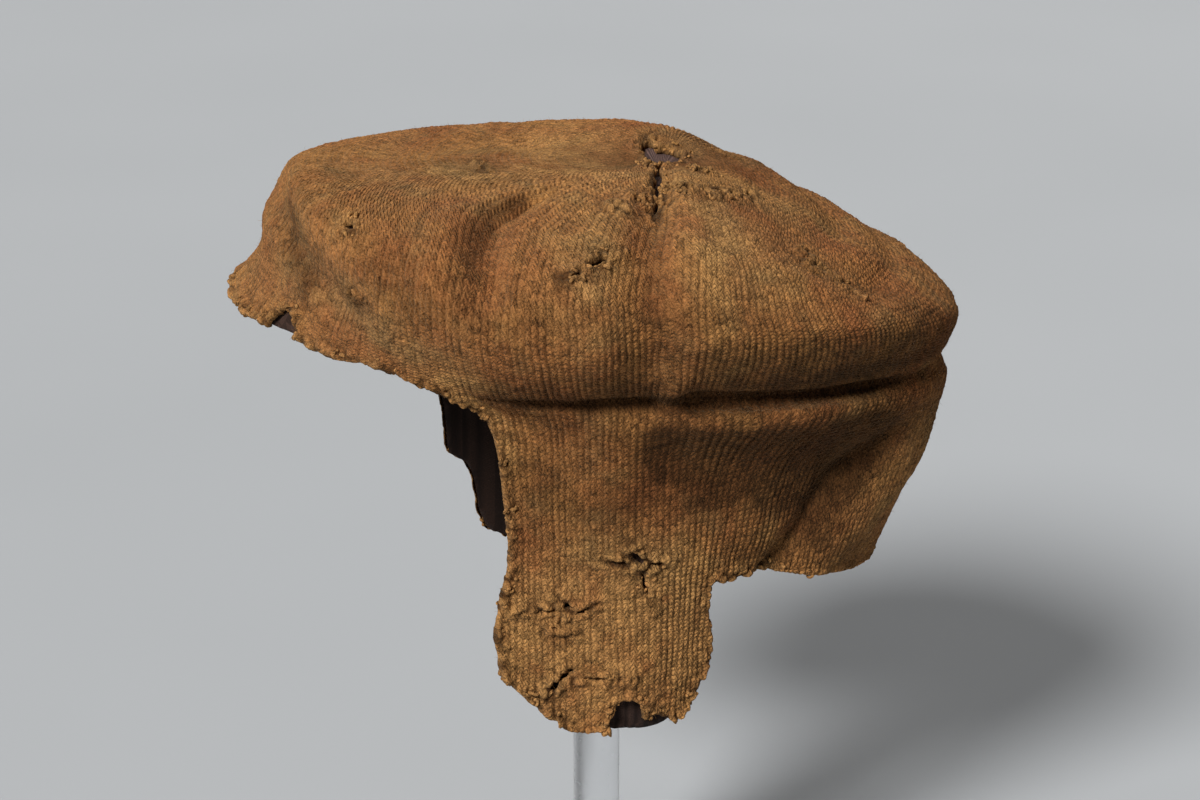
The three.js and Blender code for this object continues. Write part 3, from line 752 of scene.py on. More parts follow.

# %% [markdown]
# Dirt and wear are painted by hand in most workflows. Here each stain is a soft stroke in
# the same (angle, level) places as the folds, and the strokes add up to four masks on the
# points: rusty red, greenish grey, painted shade and painted highlight. The shade strokes
# darken the crease, the hollow under it, the rim's underside and the dents, where shade
# falls. The highlight strokes lighten the ridges, the crown's top and the flaps, where the
# light falls. The wool's material mixes its colours by them, so a stain can be moved by
# changing one number.

# %% Strokes of dirt, wear, painted shade and painted highlight
STAIN_AND_LIGHT_STROKES = {
    "red": [
        ((39, 2.1), (47, 2.3), (7, 0.35), 0.9), ((53, 2.3), (58, 3.0), (5, 0.4), 1.0),
        ((60, 3.4), (64, 4.4), (8, 0.6), 0.7), ((94, 2.2), (96, 4.0), (4.5, 0.5), 0.9),
        ((149, 2.8), (160, 2.6), (9, 0.4), 0.8), ((130, 1.5), (136, 1.9), (8, 0.3), 0.7),
        ((93, 8.3), (96, 9.6), (12, 0.5), 0.45), ((64, 8.2), (66, 8.9), (6, 0.4), 0.6),
        ((100, 9.9), (110, 9.6), (9, 0.3), 0.6), ((20, 4.9), (26, 5.4), (10, 0.5), 0.5),
        ((-40, 3.0), (-60, 3.6), (12, 0.6), 0.8), ((-120, 7.4), (-140, 8.2), (14, 0.5), 0.7),
        ((170, 5.0), (190, 5.2), (14, 0.6), 0.5), ((70, 7.0), (80, 7.2), (12, 0.5), 0.4),
    ],
    "green": [
        ((12, 1.6), (20, 1.55), (8, 0.18), 1.0), ((32, 4.2), (44, 4.8), (9, 0.4), 0.8),
        ((16, 3.4), (18, 4.2), (5, 0.4), 0.7), ((82, 8.4), (96, 8.7), (9, 0.3), 0.8),
        ((112, 2.0), (118, 2.5), (8, 0.3), 0.7), ((100, 1.2), (138, 1.25), (8, 0.15), 0.5),
        ((76, 1.6), (78, 2.6), (6, 0.3), 0.8), ((134, 8.9), (158, 7.5), (3, 0.2), 0.4),
        ((-90, 2.6), (-104, 3.4), (12, 0.5), 0.7), ((-78, 8.6), (-92, 9.4), (10, 0.5), 0.6),
        ((-160, 3.4), (-176, 4.2), (12, 0.5), 0.6), ((150, 1.4), (164, 1.6), (12, 0.3), 0.6),
    ],
    # painted shade: darker in the crease, the hollow under it, under the rim, in the dents and folds and
    # round a few holes, where shade falls
    "painted_shade": [
        ((66, 6.0), (95, 5.95), (8, 0.2), 0.9), ((104, 5.75), (152, 5.95), (8, 0.25), 0.9),
        ((64, 5.3), (150, 5.2), (8, 0.45), 0.7), ((45, 1.75), (56.5, 3.0), (2, 0.2), 0.7),
        ((101, 7.05), (150, 7.5), (9, 0.55), 1.4), ((108, 7.4), (148, 8.0), (8, 0.45), 1.4),
        ((12, 3.6), (22, 4.5), (4, 0.5), 0.8),
        ((91, 1.4), (95, 4.2), (3, 0.4), 0.45), ((-60, 6.0), (-160, 5.9), (14, 0.25), 0.8),
        ((34, 4.2), (36, 4.3), (3, 0.2), 0.7), ((136, 2.0), (146, 2.5), (4, 0.2), 0.5),
        ((72, 6.8), (96, 7.0), (9, 0.5), 0.45), ((110, 4.4), (152, 4.1), (12, 0.6), 0.6),
        ((64, 5.8), (150, 5.9), (8, 0.3), 0.6), ((64, 6.15), (150, 6.1), (8, 0.2), 0.5),
        ((132, 5.0), (170, 4.9), (12, 0.5), 0.7), ((148, 7.0), (168, 7.3), (12, 0.5), 0.35),
        ((64, 7.7), (84, 7.9), (7, 0.35), 0.5), ((146, 8.5), (160, 8.8), (5, 0.2), 0.5),
        ((46, 3.9), (116, 3.25), (8, 0.4), 0.28), ((42, 3.3), (46, 3.8), (5, 0.35), 0.3),
        ((115, 6.3), (150, 6.55), (8, 0.2), 0.5), ((150, 2.9), (156, 3.6), (6, 0.4), 0.35),
        ((100, 3.35), (113, 3.05), (6, 0.3), 0.3), ((88, 7.86), (109, 7.94), (7, 0.3), 0.35),
        ((124, 8.55), (137, 8.75), (5, 0.2), 0.6),
    ],
    # painted highlight: lighter on the ridges beside the pleat, the crown's top, the flaps, the lit strip of
    # the neck flap and the joint of peak and flap
    "painted_highlight": [
        ((80, 2.2), (80, 3.6), (4, 0.6), 0.5), ((106, 2.0), (107, 3.6), (5, 0.6), 0.6),
        ((160, 8.5), (174, 7.6), (8, 0.4), 0.7), ((76, 8.5), (98, 8.5), (10, 0.4), 0.4),
        ((2, 6.5), (30, 6.0), (10, 0.5), 0.2), ((-40, 0.9), (70, 0.9), (20, 0.4), 0.9),
        ((-10, 2.2), (40, 1.9), (14, 0.4), 0.35), ((64, 9.2), (112, 9.1), (10, 0.6), 0.9),
        ((60, 10.0), (112, 9.9), (10, 0.6), 0.75), ((118, 8.9), (134, 8.9), (8, 0.2), 0.5),
        ((12, 1.7), (22, 1.6), (5, 0.1), 0.8), ((62, 1.1), (76, 3.0), (8, 0.7), 0.3),
        ((94, 0.5), (112, 2.0), (12, 0.45), 0.8), ((120, 0.6), (150, 0.9), (16, 0.3), 0.6),
        ((102, 8.9), (109, 9.8), (7, 0.5), 0.9), ((54, 6.0), (59, 7.4), (2.2, 0.3), 1.2),
        ((51, 5.4), (59, 5.35), (5, 0.3), 0.9), ((51, 7.2), (53, 7.0), (3, 0.4), 1.2),
        ((21, 4.75), (24, 4.6), (5, 0.3), 0.8), ((100, 0.4), (150, 0.5), (16, 0.3), 0.8),
        ((82, 8.44), (88, 8.46), (5, 0.25), 0.8),
    ],
}


def stains_and_painted_light(angle, level, points, edge):
    """Masks of red stain, green wear, painted shade and painted highlight, each broken up by the cloth's own
    noise.
    """
    masks = []
    for k, (name, strokes) in enumerate(STAIN_AND_LIGHT_STROKES.items()):
        amount = fold_depth(angle, level, strokes)
        # The painted shade is broken up less than the stains, so that it stays smooth.
        patchy = 0.3 if name == "painted_shade" else 0.75
        broken = 0.85 + patchy * noise(points, 7, 20 + k) + 0.4 * patchy * noise(points, 2.6, 30 + k)
        masks.append(np.clip(amount * broken, 0, 1))
    # The fourth mask also makes the yarn lighter along every cut and round the holes.
    masks[3] = np.maximum(masks[3], np.clip(0.8 * np.exp(-np.maximum(edge, 0) / 2.5), 0, 1))
    # Painted shade in the gaps between the knobs along a frayed edge.
    near = np.flatnonzero(edge < 2 * BOBBLE_REACH)
    between = 1 - bobbles(points[near], BOBBLE_SIZE)
    masks[2][near] = np.maximum(masks[2][near], 1.1 * fraying(points[near], edge[near]) * between**2)
    return np.stack(masks, axis=1)


print("strokes:", {name: len(strokes) for name, strokes in STAIN_AND_LIGHT_STROKES.items()})

# %% Making Blender meshes
def surface_normals(points, faces):
    corner = points[faces]
    face_normals = np.cross(corner[:, 1] - corner[:, 0], corner[:, 2] - corner[:, 0])
    total = np.zeros_like(points)
    for side in range(3):
        np.add.at(total, faces[:, side], face_normals)
    return total / np.maximum(np.linalg.norm(total, axis=1, keepdims=True), 1e-9)


def mesh_piece(name, points, faces, material, replaced, uv, masks=None, normals=None):
    """A named object from points in mm above the crease, riding on the stand's body."""
    used, compact = np.unique(faces, return_inverse=True)
    faces = compact.reshape(faces.shape)
    mesh = bpy.data.meshes.new(name)
    placed = (points[used] + (0, 0, CREASE_HEIGHT)) * MM
    mesh.from_pydata(placed.tolist(), [], faces.tolist())
    layer = mesh.uv_layers.new(name="yarn")
    layer.data.foreach_set("uv", np.ascontiguousarray(uv, np.float32).ravel())
    if masks is not None:
        attribute = mesh.color_attributes.new("stains_and_painted_light", "FLOAT_COLOR", "POINT")
        attribute.data.foreach_set("color", masks[used].astype(np.float32).ravel())
    mesh.shade_smooth()
    if normals is not None:
        mesh.normals_split_custom_set_from_vertices(normals[used].tolist())
    mesh.materials.append(material)
    piece = bpy.data.objects.new(name, mesh)
    bpy.context.scene.collection.objects.link(piece)
    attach(piece, "root")
    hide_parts(replaced)
    print(name, len(faces), "faces")
    return piece


def yarn_uv(wale, course, faces):
    """Wale and course for each corner. Only parts of a wale matter, so jumps are evened out."""
    wales = wale[faces]
    step = wales - wales[:, :1]
    wales = wales[:, :1] + step - np.round(step)
    return np.stack([wales, course[faces]], axis=2).reshape(-1, 2)


# %% [markdown]
# A material for wool starts from three things. Wool scatters light in its fibres, so it has
# no shine but a soft halo, which the shader calls sheen. Its dye has faded unevenly. And
# the grooves between the stitches are darkened as painted shade. Texture painting would fix
# all this to one picture size, but nodes that read the yarn's own coordinates stay sharp at
# any distance.

# %% Small helpers for materials
def new_material(name, roughness, sheen=0.0, sheen_roughness=0.5, specular=0.2):
    """A material with its nodes, its shader and the socket that says where a point is."""
    material = bpy.data.materials.new(name)
    material.use_nodes = True
    shader = material.node_tree.nodes["Principled BSDF"]
    shader.inputs["Roughness"].default_value = roughness
    shader.inputs["Sheen Weight"].default_value = sheen
    shader.inputs["Sheen Roughness"].default_value = sheen_roughness
    shader.inputs["Specular IOR Level"].default_value = specular
    place = material.node_tree.nodes.new("ShaderNodeTexCoord").outputs["Object"]
    return material, material.node_tree, shader, place


def set_or_link(tree, socket, value):
    if isinstance(value, bpy.types.NodeSocket):
        tree.links.new(value, socket)
    else:
        socket.default_value = value


def node(tree, kind, settings=None, **inputs):
    """Adds a node, sets its inputs by name or number, and links those that are sockets."""
    made = tree.nodes.new(kind)
    for key, value in (settings or {}).items():
        setattr(made, key, value)
    for key, value in inputs.items():
        set_or_link(tree, made.inputs[int(key[1:]) if key[0] == "_" else key], value)
    return made


def math_node(tree, operation, first, second=0.0, third=0.0):
    return node(tree, "ShaderNodeMath", {"operation": operation}, _0=first, _1=second, _2=third).outputs[0]


def remap(tree, value, low, high, to_low=0.0, to_high=1.0):
    made = node(tree, "ShaderNodeMapRange", {}, _0=value, _1=low, _2=high, _3=to_low, _4=to_high)
    return made.outputs[0]


def mix_color(tree, share, first, second, blend="MIX"):
    made = tree.nodes.new("ShaderNodeMix")
    made.data_type = "RGBA"
    made.blend_type = blend
    for number, value in ((0, share), (6, first), (7, second)):
        set_or_link(tree, made.inputs[number], value)
    return made.outputs[2]


def grain(tree, where, scale, detail=2.0, roughness=0.55):
    """Noise from 0 to 1. scale is the number of lumps in a metre."""
    made = node(tree, "ShaderNodeTexNoise", {}, Vector=where, Scale=scale, Detail=detail, Roughness=roughness)
    return made.outputs[0]


def finished(tree, shader, color, height=None, strength=1.0, depth=0.0):
    """Links the colour, and where there is a relief, a bump with its depth in mm."""
    tree.links.new(color, shader.inputs["Base Color"])
    if height is not None:
        bump = node(tree, "ShaderNodeBump", {}, Strength=strength, Distance=depth * MM, Height=height)
        tree.links.new(bump.outputs[0], shader.inputs["Normal"])


# %% Wool
OCHRE = (0.352, 0.163, 0.051, 1)
RUST = (0.265, 0.096, 0.032, 1)
MOSS = (0.225, 0.137, 0.054, 1)
# The colour that painted shade darkens towards, in the crease, the hollows and the grooves.
SHADE_BROWN = (0.046, 0.018, 0.006, 1)
# Straw lightens flecks of fibre and the yarn at the cuts, and is the colour of the painted highlight.
STRAW_AND_HIGHLIGHT = (0.50, 0.272, 0.094, 1)


def wool_material(name, brightness=1.0):
    material, tree, shader, place = new_material(name, 0.95, sheen=0.1, sheen_roughness=0.4, specular=0.08)
    shader.inputs["Sheen Tint"].default_value = (1.0, 0.72, 0.42, 1)
    yarn = node(tree, "ShaderNodeUVMap", {"uv_map": "yarn"}).outputs[0]
    masks = node(tree, "ShaderNodeAttribute", {"attribute_name": "stains_and_painted_light"})
    parts = node(tree, "ShaderNodeSeparateColor", {}, Color=masks.outputs["Color"])
    apart = node(tree, "ShaderNodeSeparateXYZ", {}, Vector=yarn)
    wale, course = apart.outputs[0], apart.outputs[1]

    patches = remap(tree, grain(tree, place, 38, 3), 0.36, 0.66)
    color = mix_color(tree, patches, OCHRE, RUST)
    worn = remap(tree, grain(tree, place, 61, 4), 0.52, 0.74, 0, 0.65)
    color = mix_color(tree, worn, color, MOSS)
    color = mix_color(tree, math_node(tree, "MULTIPLY", parts.outputs[0], 0.8), color, RUST)
    color = mix_color(tree, math_node(tree, "MULTIPLY", parts.outputs[1], 0.7), color, MOSS)
    # The fourth mask mixes in straw as painted highlight and as lighter yarn at the cuts, the third mixes in
    # painted shade.
    color = mix_color(tree, math_node(tree, "MULTIPLY", masks.outputs["Alpha"], 0.6), color, STRAW_AND_HIGHLIGHT)
    color = mix_color(tree, math_node(tree, "MULTIPLY", parts.outputs[2], 0.86), color, SHADE_BROWN)

    unsteady = math_node(tree, "SUBTRACT", grain(tree, place, 420, 2, 0.6), 0.5)
    wale = math_node(tree, "MULTIPLY_ADD", unsteady, 0.5, wale)
    course = math_node(tree, "MULTIPLY_ADD", unsteady, 1.1, course)
    across = math_node(tree, "ABSOLUTE", math_node(tree, "SUBTRACT", math_node(tree, "FRACT", wale), 0.5))
    felted = remap(tree, grain(tree, place, 130, 3), 0.42, 0.6, 0.35, 1.0)
    number = math_node(tree, "ROUND", wale)
    own = node(tree, "ShaderNodeTexWhiteNoise", {"noise_dimensions": "1D"}, W=number).outputs[0]
    groove = math_node(tree, "MULTIPLY", remap(tree, across, 0.26, 0.5), remap(tree, own, 0, 1, 0.55, 1.25))
    groove = math_node(tree, "MULTIPLY", groove, felted)
    leg = math_node(tree, "SUBTRACT", course, math_node(tree, "MULTIPLY", across, 1.5))
    vee = math_node(tree, "COSINE", math_node(tree, "MULTIPLY", leg, 2 * np.pi))
    between = math_node(tree, "MULTIPLY", remap(tree, vee, 0.1, -1.0), felted)
    # Painted shade in the grooves between the wales and between the stitches.
    shadow = math_node(tree, "MAXIMUM", math_node(tree, "MULTIPLY", groove, 0.66),
                       math_node(tree, "MULTIPLY", between, 0.24))
    color = mix_color(tree, shadow, color, SHADE_BROWN)
    cells = node(tree, "ShaderNodeCombineXYZ", {}, _0=math_node(tree, "FLOOR", wale),
                 _1=math_node(tree, "FLOOR", course))
    each = node(tree, "ShaderNodeTexWhiteNoise", {"noise_dimensions": "2D"}, Vector=cells.outputs[0])
    fibres = grain(tree, place, 1300, 4, 0.8)
    flecks = remap(tree, grain(tree, place, 2100, 3, 0.75), 0.56, 0.72)
    speck = math_node(tree, "MULTIPLY_ADD", each.outputs[0], 0.14, fibres)
    shade = remap(tree, speck, 0.38, 0.78, 0.15 * brightness, 1.85 * brightness)
    color = mix_color(tree, 1.0, color, shade, "MULTIPLY")
    # Fewer straw flecks where shade is painted.
    flecks_out_of_shade = remap(tree, parts.outputs[2], 0, 1, 0.45, 0.1)
    color = mix_color(tree, math_node(tree, "MULTIPLY", flecks, flecks_out_of_shade), color, STRAW_AND_HIGHLIGHT)

    fluff = grain(tree, place, 520, 2, 0.6)
    height = math_node(tree, "MULTIPLY_ADD", vee, 0.3, math_node(tree, "MULTIPLY", fluff, 0.9))
    height = math_node(tree, "MULTIPLY_ADD", groove, -0.3, height)
    height = math_node(tree, "MULTIPLY_ADD", fibres, 0.9, height)
    finished(tree, shader, color, height, 1.0, 0.75)
    return material


wool = wool_material("fulled_wool")
wool_loops = wool_material("wool_loops", 1.06)
print("wool:", len(wool.node_tree.nodes), "nodes")

# %% [markdown]
# The crown and the skirt are cut out of their grids, lifted by the relief and given their
# edges. They are split into five meshes only to keep each one light. The normals come from
# the whole cloth, so no line shows where two of them meet.

# %% The knitted crown
CROWN_DIVE, SKIRT_DIVE = 1.3, 0.9  # mm
UNDER_SKIRT = 6.06  # the crown ends here where the skirt covers it
CROWN_DIPS, SKIRT_DIPS = 5.88, 6.1  # levels past which one goes under the other


def cut_to_shape(angle, level, faces, notes):
    """The grid without what lies past the hem or in a hole."""
    bent = wavering(angle, level)
    distance = np.minimum(inside_hem(bent, level), outside_holes(wall_point(bent, level)))
    return cut_away(angle, level, faces, distance, notes)


def finish_cloth(angle, level, wale, faces, on_line, crowded, sink):
    """Points, faces, masks and yarn coordinates of a cloth with its rolled edges."""
    bent = wavering(angle, level)
    plain = wall_point(bent, level)
    edge = np.minimum(inside_hem(bent, level), outside_holes(plain))
    facing = outward(bent, level)
    lift = relief(bent, level, wale, plain, edge, crowded)
    surface = plain + facing * lift[:, None] - facing * sink[:, None]
    points, all_faces, ring, beyond, cuts = with_edges(surface, facing, faces, on_line)
    longer = lambda values: np.concatenate([values] + [values[ring]] * len(EDGE_RINGS))
    masks = longer(stains_and_painted_light(bent, level, plain, edge))
    normals = surface_normals(points, all_faces)
    return {
        "points": points, "faces": all_faces, "masks": masks, "normals": normals,
        "wale": longer(wale), "course": longer(course_at(level)), "angle": longer(angle),
        "cuts": cuts, "beyond": dict(zip(ring.tolist(), beyond)), "facing": facing,
    }


def knit_piece(name, cloth, chosen):
    faces = cloth["faces"][chosen]
    uv = yarn_uv(cloth["wale"], cloth["course"], faces)
    return mesh_piece(name, cloth["points"], faces, wool, "knit_cap", uv, cloth["masks"],
                      cloth["normals"])


def dive(angle, level):
    """How deep each layer goes under the other where crown and skirt overlap, in mm."""
    past = past_joint(angle)
    crown = np.minimum(np.clip((past + 0.6) / 1.4, 0, 1), np.clip((level - CROWN_DIPS) / 0.16, 0, 1))
    skirt = np.maximum(np.clip((0.8 - past) / 1.4, 0, 1), np.clip((SKIRT_DIPS - level) / 0.2, 0, 1))
    return CROWN_DIVE * crown, SKIRT_DIVE * skirt


past_flap = past_joint(crown_angle)[crown_faces].max(axis=1)
keep = (past_flap < 1) | (crown_level[crown_faces].max(axis=1) < UNDER_SKIRT)
crown = cut_to_shape(crown_angle, crown_level, crown_faces[keep], crown_zones[keep])
crown_angle, crown_level, crown_faces, crown_zones, crown_line = crown
point_zone = np.zeros(len(crown_angle), int)
point_zone[crown_faces] = crown_zones[:, None]
crown_wale = np.zeros(len(crown_angle))
for zone in range(len(zone_wales)):
    here = point_zone == zone
    crown_wale[here] = merged_wale(crown_angle[here], crown_level[here], zone)
pitch = np.interp(crown_level, crown_levels, round_at) / np.array(zone_wales)[point_zone]
pitch *= 1 + (lean(crown_angle + 1, crown_level) - lean(crown_angle - 1, crown_level)) / 2
crown_cloth = finish_cloth(crown_angle, crown_level, crown_wale, crown_faces, crown_line,
                           np.clip((pitch - 0.7) / 1.1, 0, 1), dive(crown_angle, crown_level)[0])
added = len(crown_cloth["points"]) - len(point_zone)
first = crown_cloth["faces"][:, 0]
on_top = np.append(point_zone, np.zeros(added, int))[crown_cloth["faces"]].max(axis=1) > 0
near_side = crown_cloth["angle"][first] % 360 < 180
knit_piece("knit_crown_top", crown_cloth, on_top)
knit_piece("knit_crown_near", crown_cloth, ~on_top & near_side)
knit_piece("knit_crown_far", crown_cloth, ~on_top & ~near_side)

# %% The knitted skirt with its flaps
skirt = cut_to_shape(skirt_angle, skirt_level, skirt_faces, np.zeros(len(skirt_faces), int))
skirt_angle, skirt_level, skirt_faces, _, skirt_line = skirt
skirt_cloth = finish_cloth(skirt_angle, skirt_level, skirt_wale_at(skirt_angle), skirt_faces, skirt_line,
                           np.ones(len(skirt_angle)), dive(skirt_angle, skirt_level)[1])
near_side = skirt_cloth["angle"][skirt_cloth["faces"][:, 0]] % 360 < 180
knit_piece("knit_skirt_near", skirt_cloth, near_side)
knit_piece("knit_skirt_far", skirt_cloth, ~near_side)

# %% [markdown]
# Along every cut the yarn ends have curled up into tiny loops. A particle system could
# scatter one loop, but it would not follow the edge closely. Instead the open edges of the
# cloth are walked, and a bent piece of yarn is laid down every couple of millimetres, each
# with its own size, turn and tilt.

# %% Curled loops of yarn
LOOP_STEP = 1.5  # mm between neighbours
LOOP_REACH = 4.2  # mm in from the edge
WORST_EDGE = -95  # mm from the crease, below which the loops lie close together
LOOP_RADIUS = (0.7, 1.3)
YARN_RADIUS = (0.55, 0.85)
SWEEP_STEPS, YARN_SIDES = 7, 6


def places_along_cuts(cloth, step):
    """Random places on the cuts, with the directions out of the cloth and past its edge."""
    cuts = cloth["cuts"]
    points = cloth["points"]
    lengths = np.linalg.norm(points[cuts[:, 1]] - points[cuts[:, 0]], axis=1)
    middle = (points[cuts[:, 0]] + points[cuts[:, 1]]) / 2
    wanted = np.clip(0.65 + 1.1 * noise(middle, 9, 42), 0.1, 1)
    wanted *= np.where((outside_holes(middle) < 4) | (middle[:, 2] < WORST_EDGE), 1.2, 0.5)
    chosen = cuts[rng.random(len(cuts)) < lengths / step * wanted]
    middle = (points[chosen[:, 0]] + points[chosen[:, 1]]) / 2
    beyond = np.array([cloth["beyond"][a] for a in chosen[:, 0]])
    return middle, cloth["facing"][chosen[:, 0]], beyond


def bent_yarns(middle, facing, beyond):
    """Short bent tubes with rounded ends, as points and faces."""
    count = len(middle)
    spread = lambda low, high: rng.uniform(low, high, (count, 1, 1))
    axis = np.cross(facing, beyond) * rng.uniform(-1, 1, (count, 1)) + 0.7 * rng.normal(size=(count, 3))
    axis /= np.linalg.norm(axis, axis=1, keepdims=True)
    first = np.cross(axis, facing + 0.01)
    first /= np.linalg.norm(first, axis=1, keepdims=True)
    second = np.cross(axis, first)
    along = np.linspace(0, 1, SWEEP_STEPS + 1)[None, :, None]
    bend = spread(0, 6.28) + along * spread(2.6, 5.2)
    spoke = np.cos(bend) * first[:, None] + np.sin(bend) * second[:, None]
    back = LOOP_REACH * rng.random((count, 1)) ** 1.6
    lift = np.where(back > 0.9, rng.uniform(-0.5, 0.2, (count, 1)), rng.uniform(-1.6, -0.3, (count, 1)))
    centre = middle + facing * lift - beyond * (0.4 + back)
    spine = centre[:, None] + spoke * spread(*LOOP_RADIUS)
    thick = spread(*YARN_RADIUS) * np.sqrt(np.clip(1 - (2 * along - 1) ** 6, 0.12, 1))
    round_yarn = np.linspace(0, 2 * np.pi, YARN_SIDES, endpoint=False)[None, None, :, None]
    ring = spine[:, :, None] + thick[..., None] * (
        np.cos(round_yarn) * spoke[:, :, None] + np.sin(round_yarn) * axis[:, None, None])
    points = ring.reshape(-1, 3)
    i = np.arange(SWEEP_STEPS)[:, None] * YARN_SIDES
    j, k = np.arange(YARN_SIDES), (np.arange(YARN_SIDES) + 1) % YARN_SIDES
    side = quads(*[corner.ravel() for corner in (i + j, i + YARN_SIDES + j, i + YARN_SIDES + k, i + k)])
    fan = np.stack([np.zeros(YARN_SIDES - 2, int), np.arange(1, YARN_SIDES - 1), np.arange(2, YARN_SIDES)], 1)
    last = SWEEP_STEPS * YARN_SIDES + fan[:, ::-1]
    template = np.concatenate([side, fan, last])
    size = (SWEEP_STEPS + 1) * YARN_SIDES
    faces = (np.arange(count)[:, None, None] * size + template).reshape(-1, 3)
    return points, faces


loop_points, loop_faces = [], []
for cloth in (crown_cloth, skirt_cloth):
    points, faces = bent_yarns(*places_along_cuts(cloth, LOOP_STEP))
    loop_faces.append(faces + sum(len(block) for block in loop_points))
    loop_points.append(points)
loop_points, loop_faces = np.concatenate(loop_points), np.concatenate(loop_faces)
loop_masks = np.tile([0.1, 0.15, 0.0, 0.75], (len(loop_points), 1))
loop_wale = noise(loop_points, 3, 40) + 0.5
mesh_piece("knit_loops", loop_points, loop_faces, wool_loops, "knit_cap",
           yarn_uv(loop_wale, loop_points[:, 2] / COURSE, loop_faces), loop_masks)

# %% [markdown]
# Here and there a fibre stands off the wool. Hair curves would do it, but each becomes a
# heavy tube. From a metre away a fibre is thinner than a point of the picture, so a thin
# three-sided spike, bent once, is all that the eye can use. They soften the outline.

# %% Stray fibres
FIBRE_COUNT = 8000
FIBRE_LENGTH = (0.8, 2.6)
FIBRE_WIDTH = 0.09


def fibres_on(cloth, count):
    """Thin bent spikes on random places of a cloth, as points and faces."""
    corner = cloth["points"][cloth["faces"]]
    area = np.linalg.norm(np.cross(corner[:, 1] - corner[:, 0], corner[:, 2] - corner[:, 0]), axis=1)
    chosen = rng.choice(len(area), count, p=area / area.sum())
    root = corner[chosen].mean(axis=1)
    facing = cloth["normals"][cloth["faces"][chosen, 0]]
    length = rng.uniform(*FIBRE_LENGTH, (count, 1))
    stem = facing * 0.55 + rng.normal(size=(count, 3)) * 0.6
    stem /= np.linalg.norm(stem, axis=1, keepdims=True)
    droop = stem + rng.normal(size=(count, 3)) * 0.5
    droop /= np.linalg.norm(droop, axis=1, keepdims=True)
    elbow = root + stem * length * 0.5
    tip = elbow + droop * length * 0.5
    side = np.cross(stem, facing + 0.01)
    side *= FIBRE_WIDTH / 2 / np.linalg.norm(side, axis=1, keepdims=True)
    back = np.cross(stem, side)
    low = root - facing * 0.3
    points = np.stack([low + side, low - side, low + back, elbow + side * 0.7, elbow - side * 0.7,
                       elbow + back * 0.7, tip], axis=1)
    template = np.array([(0, 1, 4), (0, 4, 3), (1, 2, 5), (1, 5, 4), (2, 0, 3), (2, 3, 5),
                         (3, 4, 6), (4, 5, 6), (5, 3, 6), (2, 1, 0)])
    faces = (np.arange(count)[:, None, None] * 7 + template).reshape(-1, 3)
    return points.reshape(-1, 3), faces


crown_fibres, crown_fibre_faces = fibres_on(crown_cloth, FIBRE_COUNT * 6 // 10)
skirt_fibres, skirt_fibre_faces = fibres_on(skirt_cloth, FIBRE_COUNT * 4 // 10)
fibre_points = np.concatenate([crown_fibres, skirt_fibres])
fibre_faces = np.concatenate([crown_fibre_faces, skirt_fibre_faces + len(crown_fibres)])
fibre_masks = np.tile([0.1, 0.1, 0.0, 0.6], (len(fibre_points), 1))
fibre_wale = noise(fibre_points, 3, 41) + 0.5
mesh_piece("knit_fibres", fibre_points, fibre_faces, wool_loops, "knit_cap",
           yarn_uv(fibre_wale, fibre_points[:, 2] / COURSE, fibre_faces), fibre_masks)

# %% [markdown]
# The lining is thin machine-knitted cloth with fine ribs, once purple and now a dark brown.
# It shows in the notch of the flap, in the moth holes, and inside when one looks up from
# below. It was cut a little short of the hem. Cloth simulation could wrinkle it, but it has
# to stay under the wool all round, so it gets its own layer under the same table of rings.

# %% The lining
LINING_OUTER = 3.3  # mm in from the outside of the wool
LINING_THICKNESS = 1.0
LINING_INSET = 1.3
LINING_COLUMNS, LINING_ROWS = 225, 110


def strips(first, columns, rows):
    """The faces between closed rings of points, from the point with the number first."""
    i = np.arange(columns)
    j = (i + 1) % columns
    starts = first + columns * np.arange(rows)
    return [quads(start + i, start + columns + i, start + columns + j, start + j) for start in starts]


def closed_grid(levels, columns):
    """Closed rings below one middle point, with triangles between them."""
    angle = np.concatenate([[0.0], np.tile(np.arange(columns) * 360 / columns, len(levels))])
    level = np.concatenate([[0.0], np.repeat(levels, columns)])
    i = np.arange(columns)
    first = np.stack([np.zeros(columns, int), 1 + i, 1 + (i + 1) % columns], 1)
    return angle, level, np.concatenate([first, *strips(1, columns, len(levels) - 1)])


# %% The lining's two sides
lining_courses = np.linspace(0, course_at(10.7), LINING_ROWS + 1)[1:]
angle, level, faces = closed_grid(level_of_course(lining_courses), LINING_COLUMNS)
hem_distance = inside_hem(angle, level, noisy=0.25) - LINING_INSET
angle, level, faces, _, line = cut_away(angle, level, faces, hem_distance, np.zeros(len(faces), int))
plain = wall_point(angle, level)
wrinkle = 0.5 + 0.5 * noise(plain * (1, 1, 0.5), 9, 50)
ridge = np.exp(-(((level - 5.55) / 0.06) ** 2)) + np.exp(-((wrapped(angle - 168) / 0.9) ** 2))
outer_depth = LINING_OUTER + 0.55 * wrinkle * np.clip(level, 0, 1)
inner_depth = outer_depth + LINING_THICKNESS * (0.55 + 0.6 * np.clip(ridge, 0, 1))
outer = wall_point(angle, level, outer_depth)
inner = wall_point(angle, level, inner_depth + 0.3 * wrinkle)
open_edges = edge_neighbours(faces, line)
count = len(outer)
start, end = open_edges.T
wall = quads(end, start, start + count, end + count)
lining_points = np.concatenate([outer, inner])
lining_faces = np.concatenate([faces, faces[:, ::-1] + count, wall])
lining_wale = np.tile(crease_length_at(angle), 2)
lining_course = np.tile(course_at(level) * COURSE, 2)
bleached = np.clip(2 - level, 0, 1)
lining_masks = np.zeros((2 * count, 4))
lining_masks[:count, 0] = bleached
lining_masks[count:, 1] = 1
print("lining:", len(lining_points), "points and", len(lining_faces), "triangles")


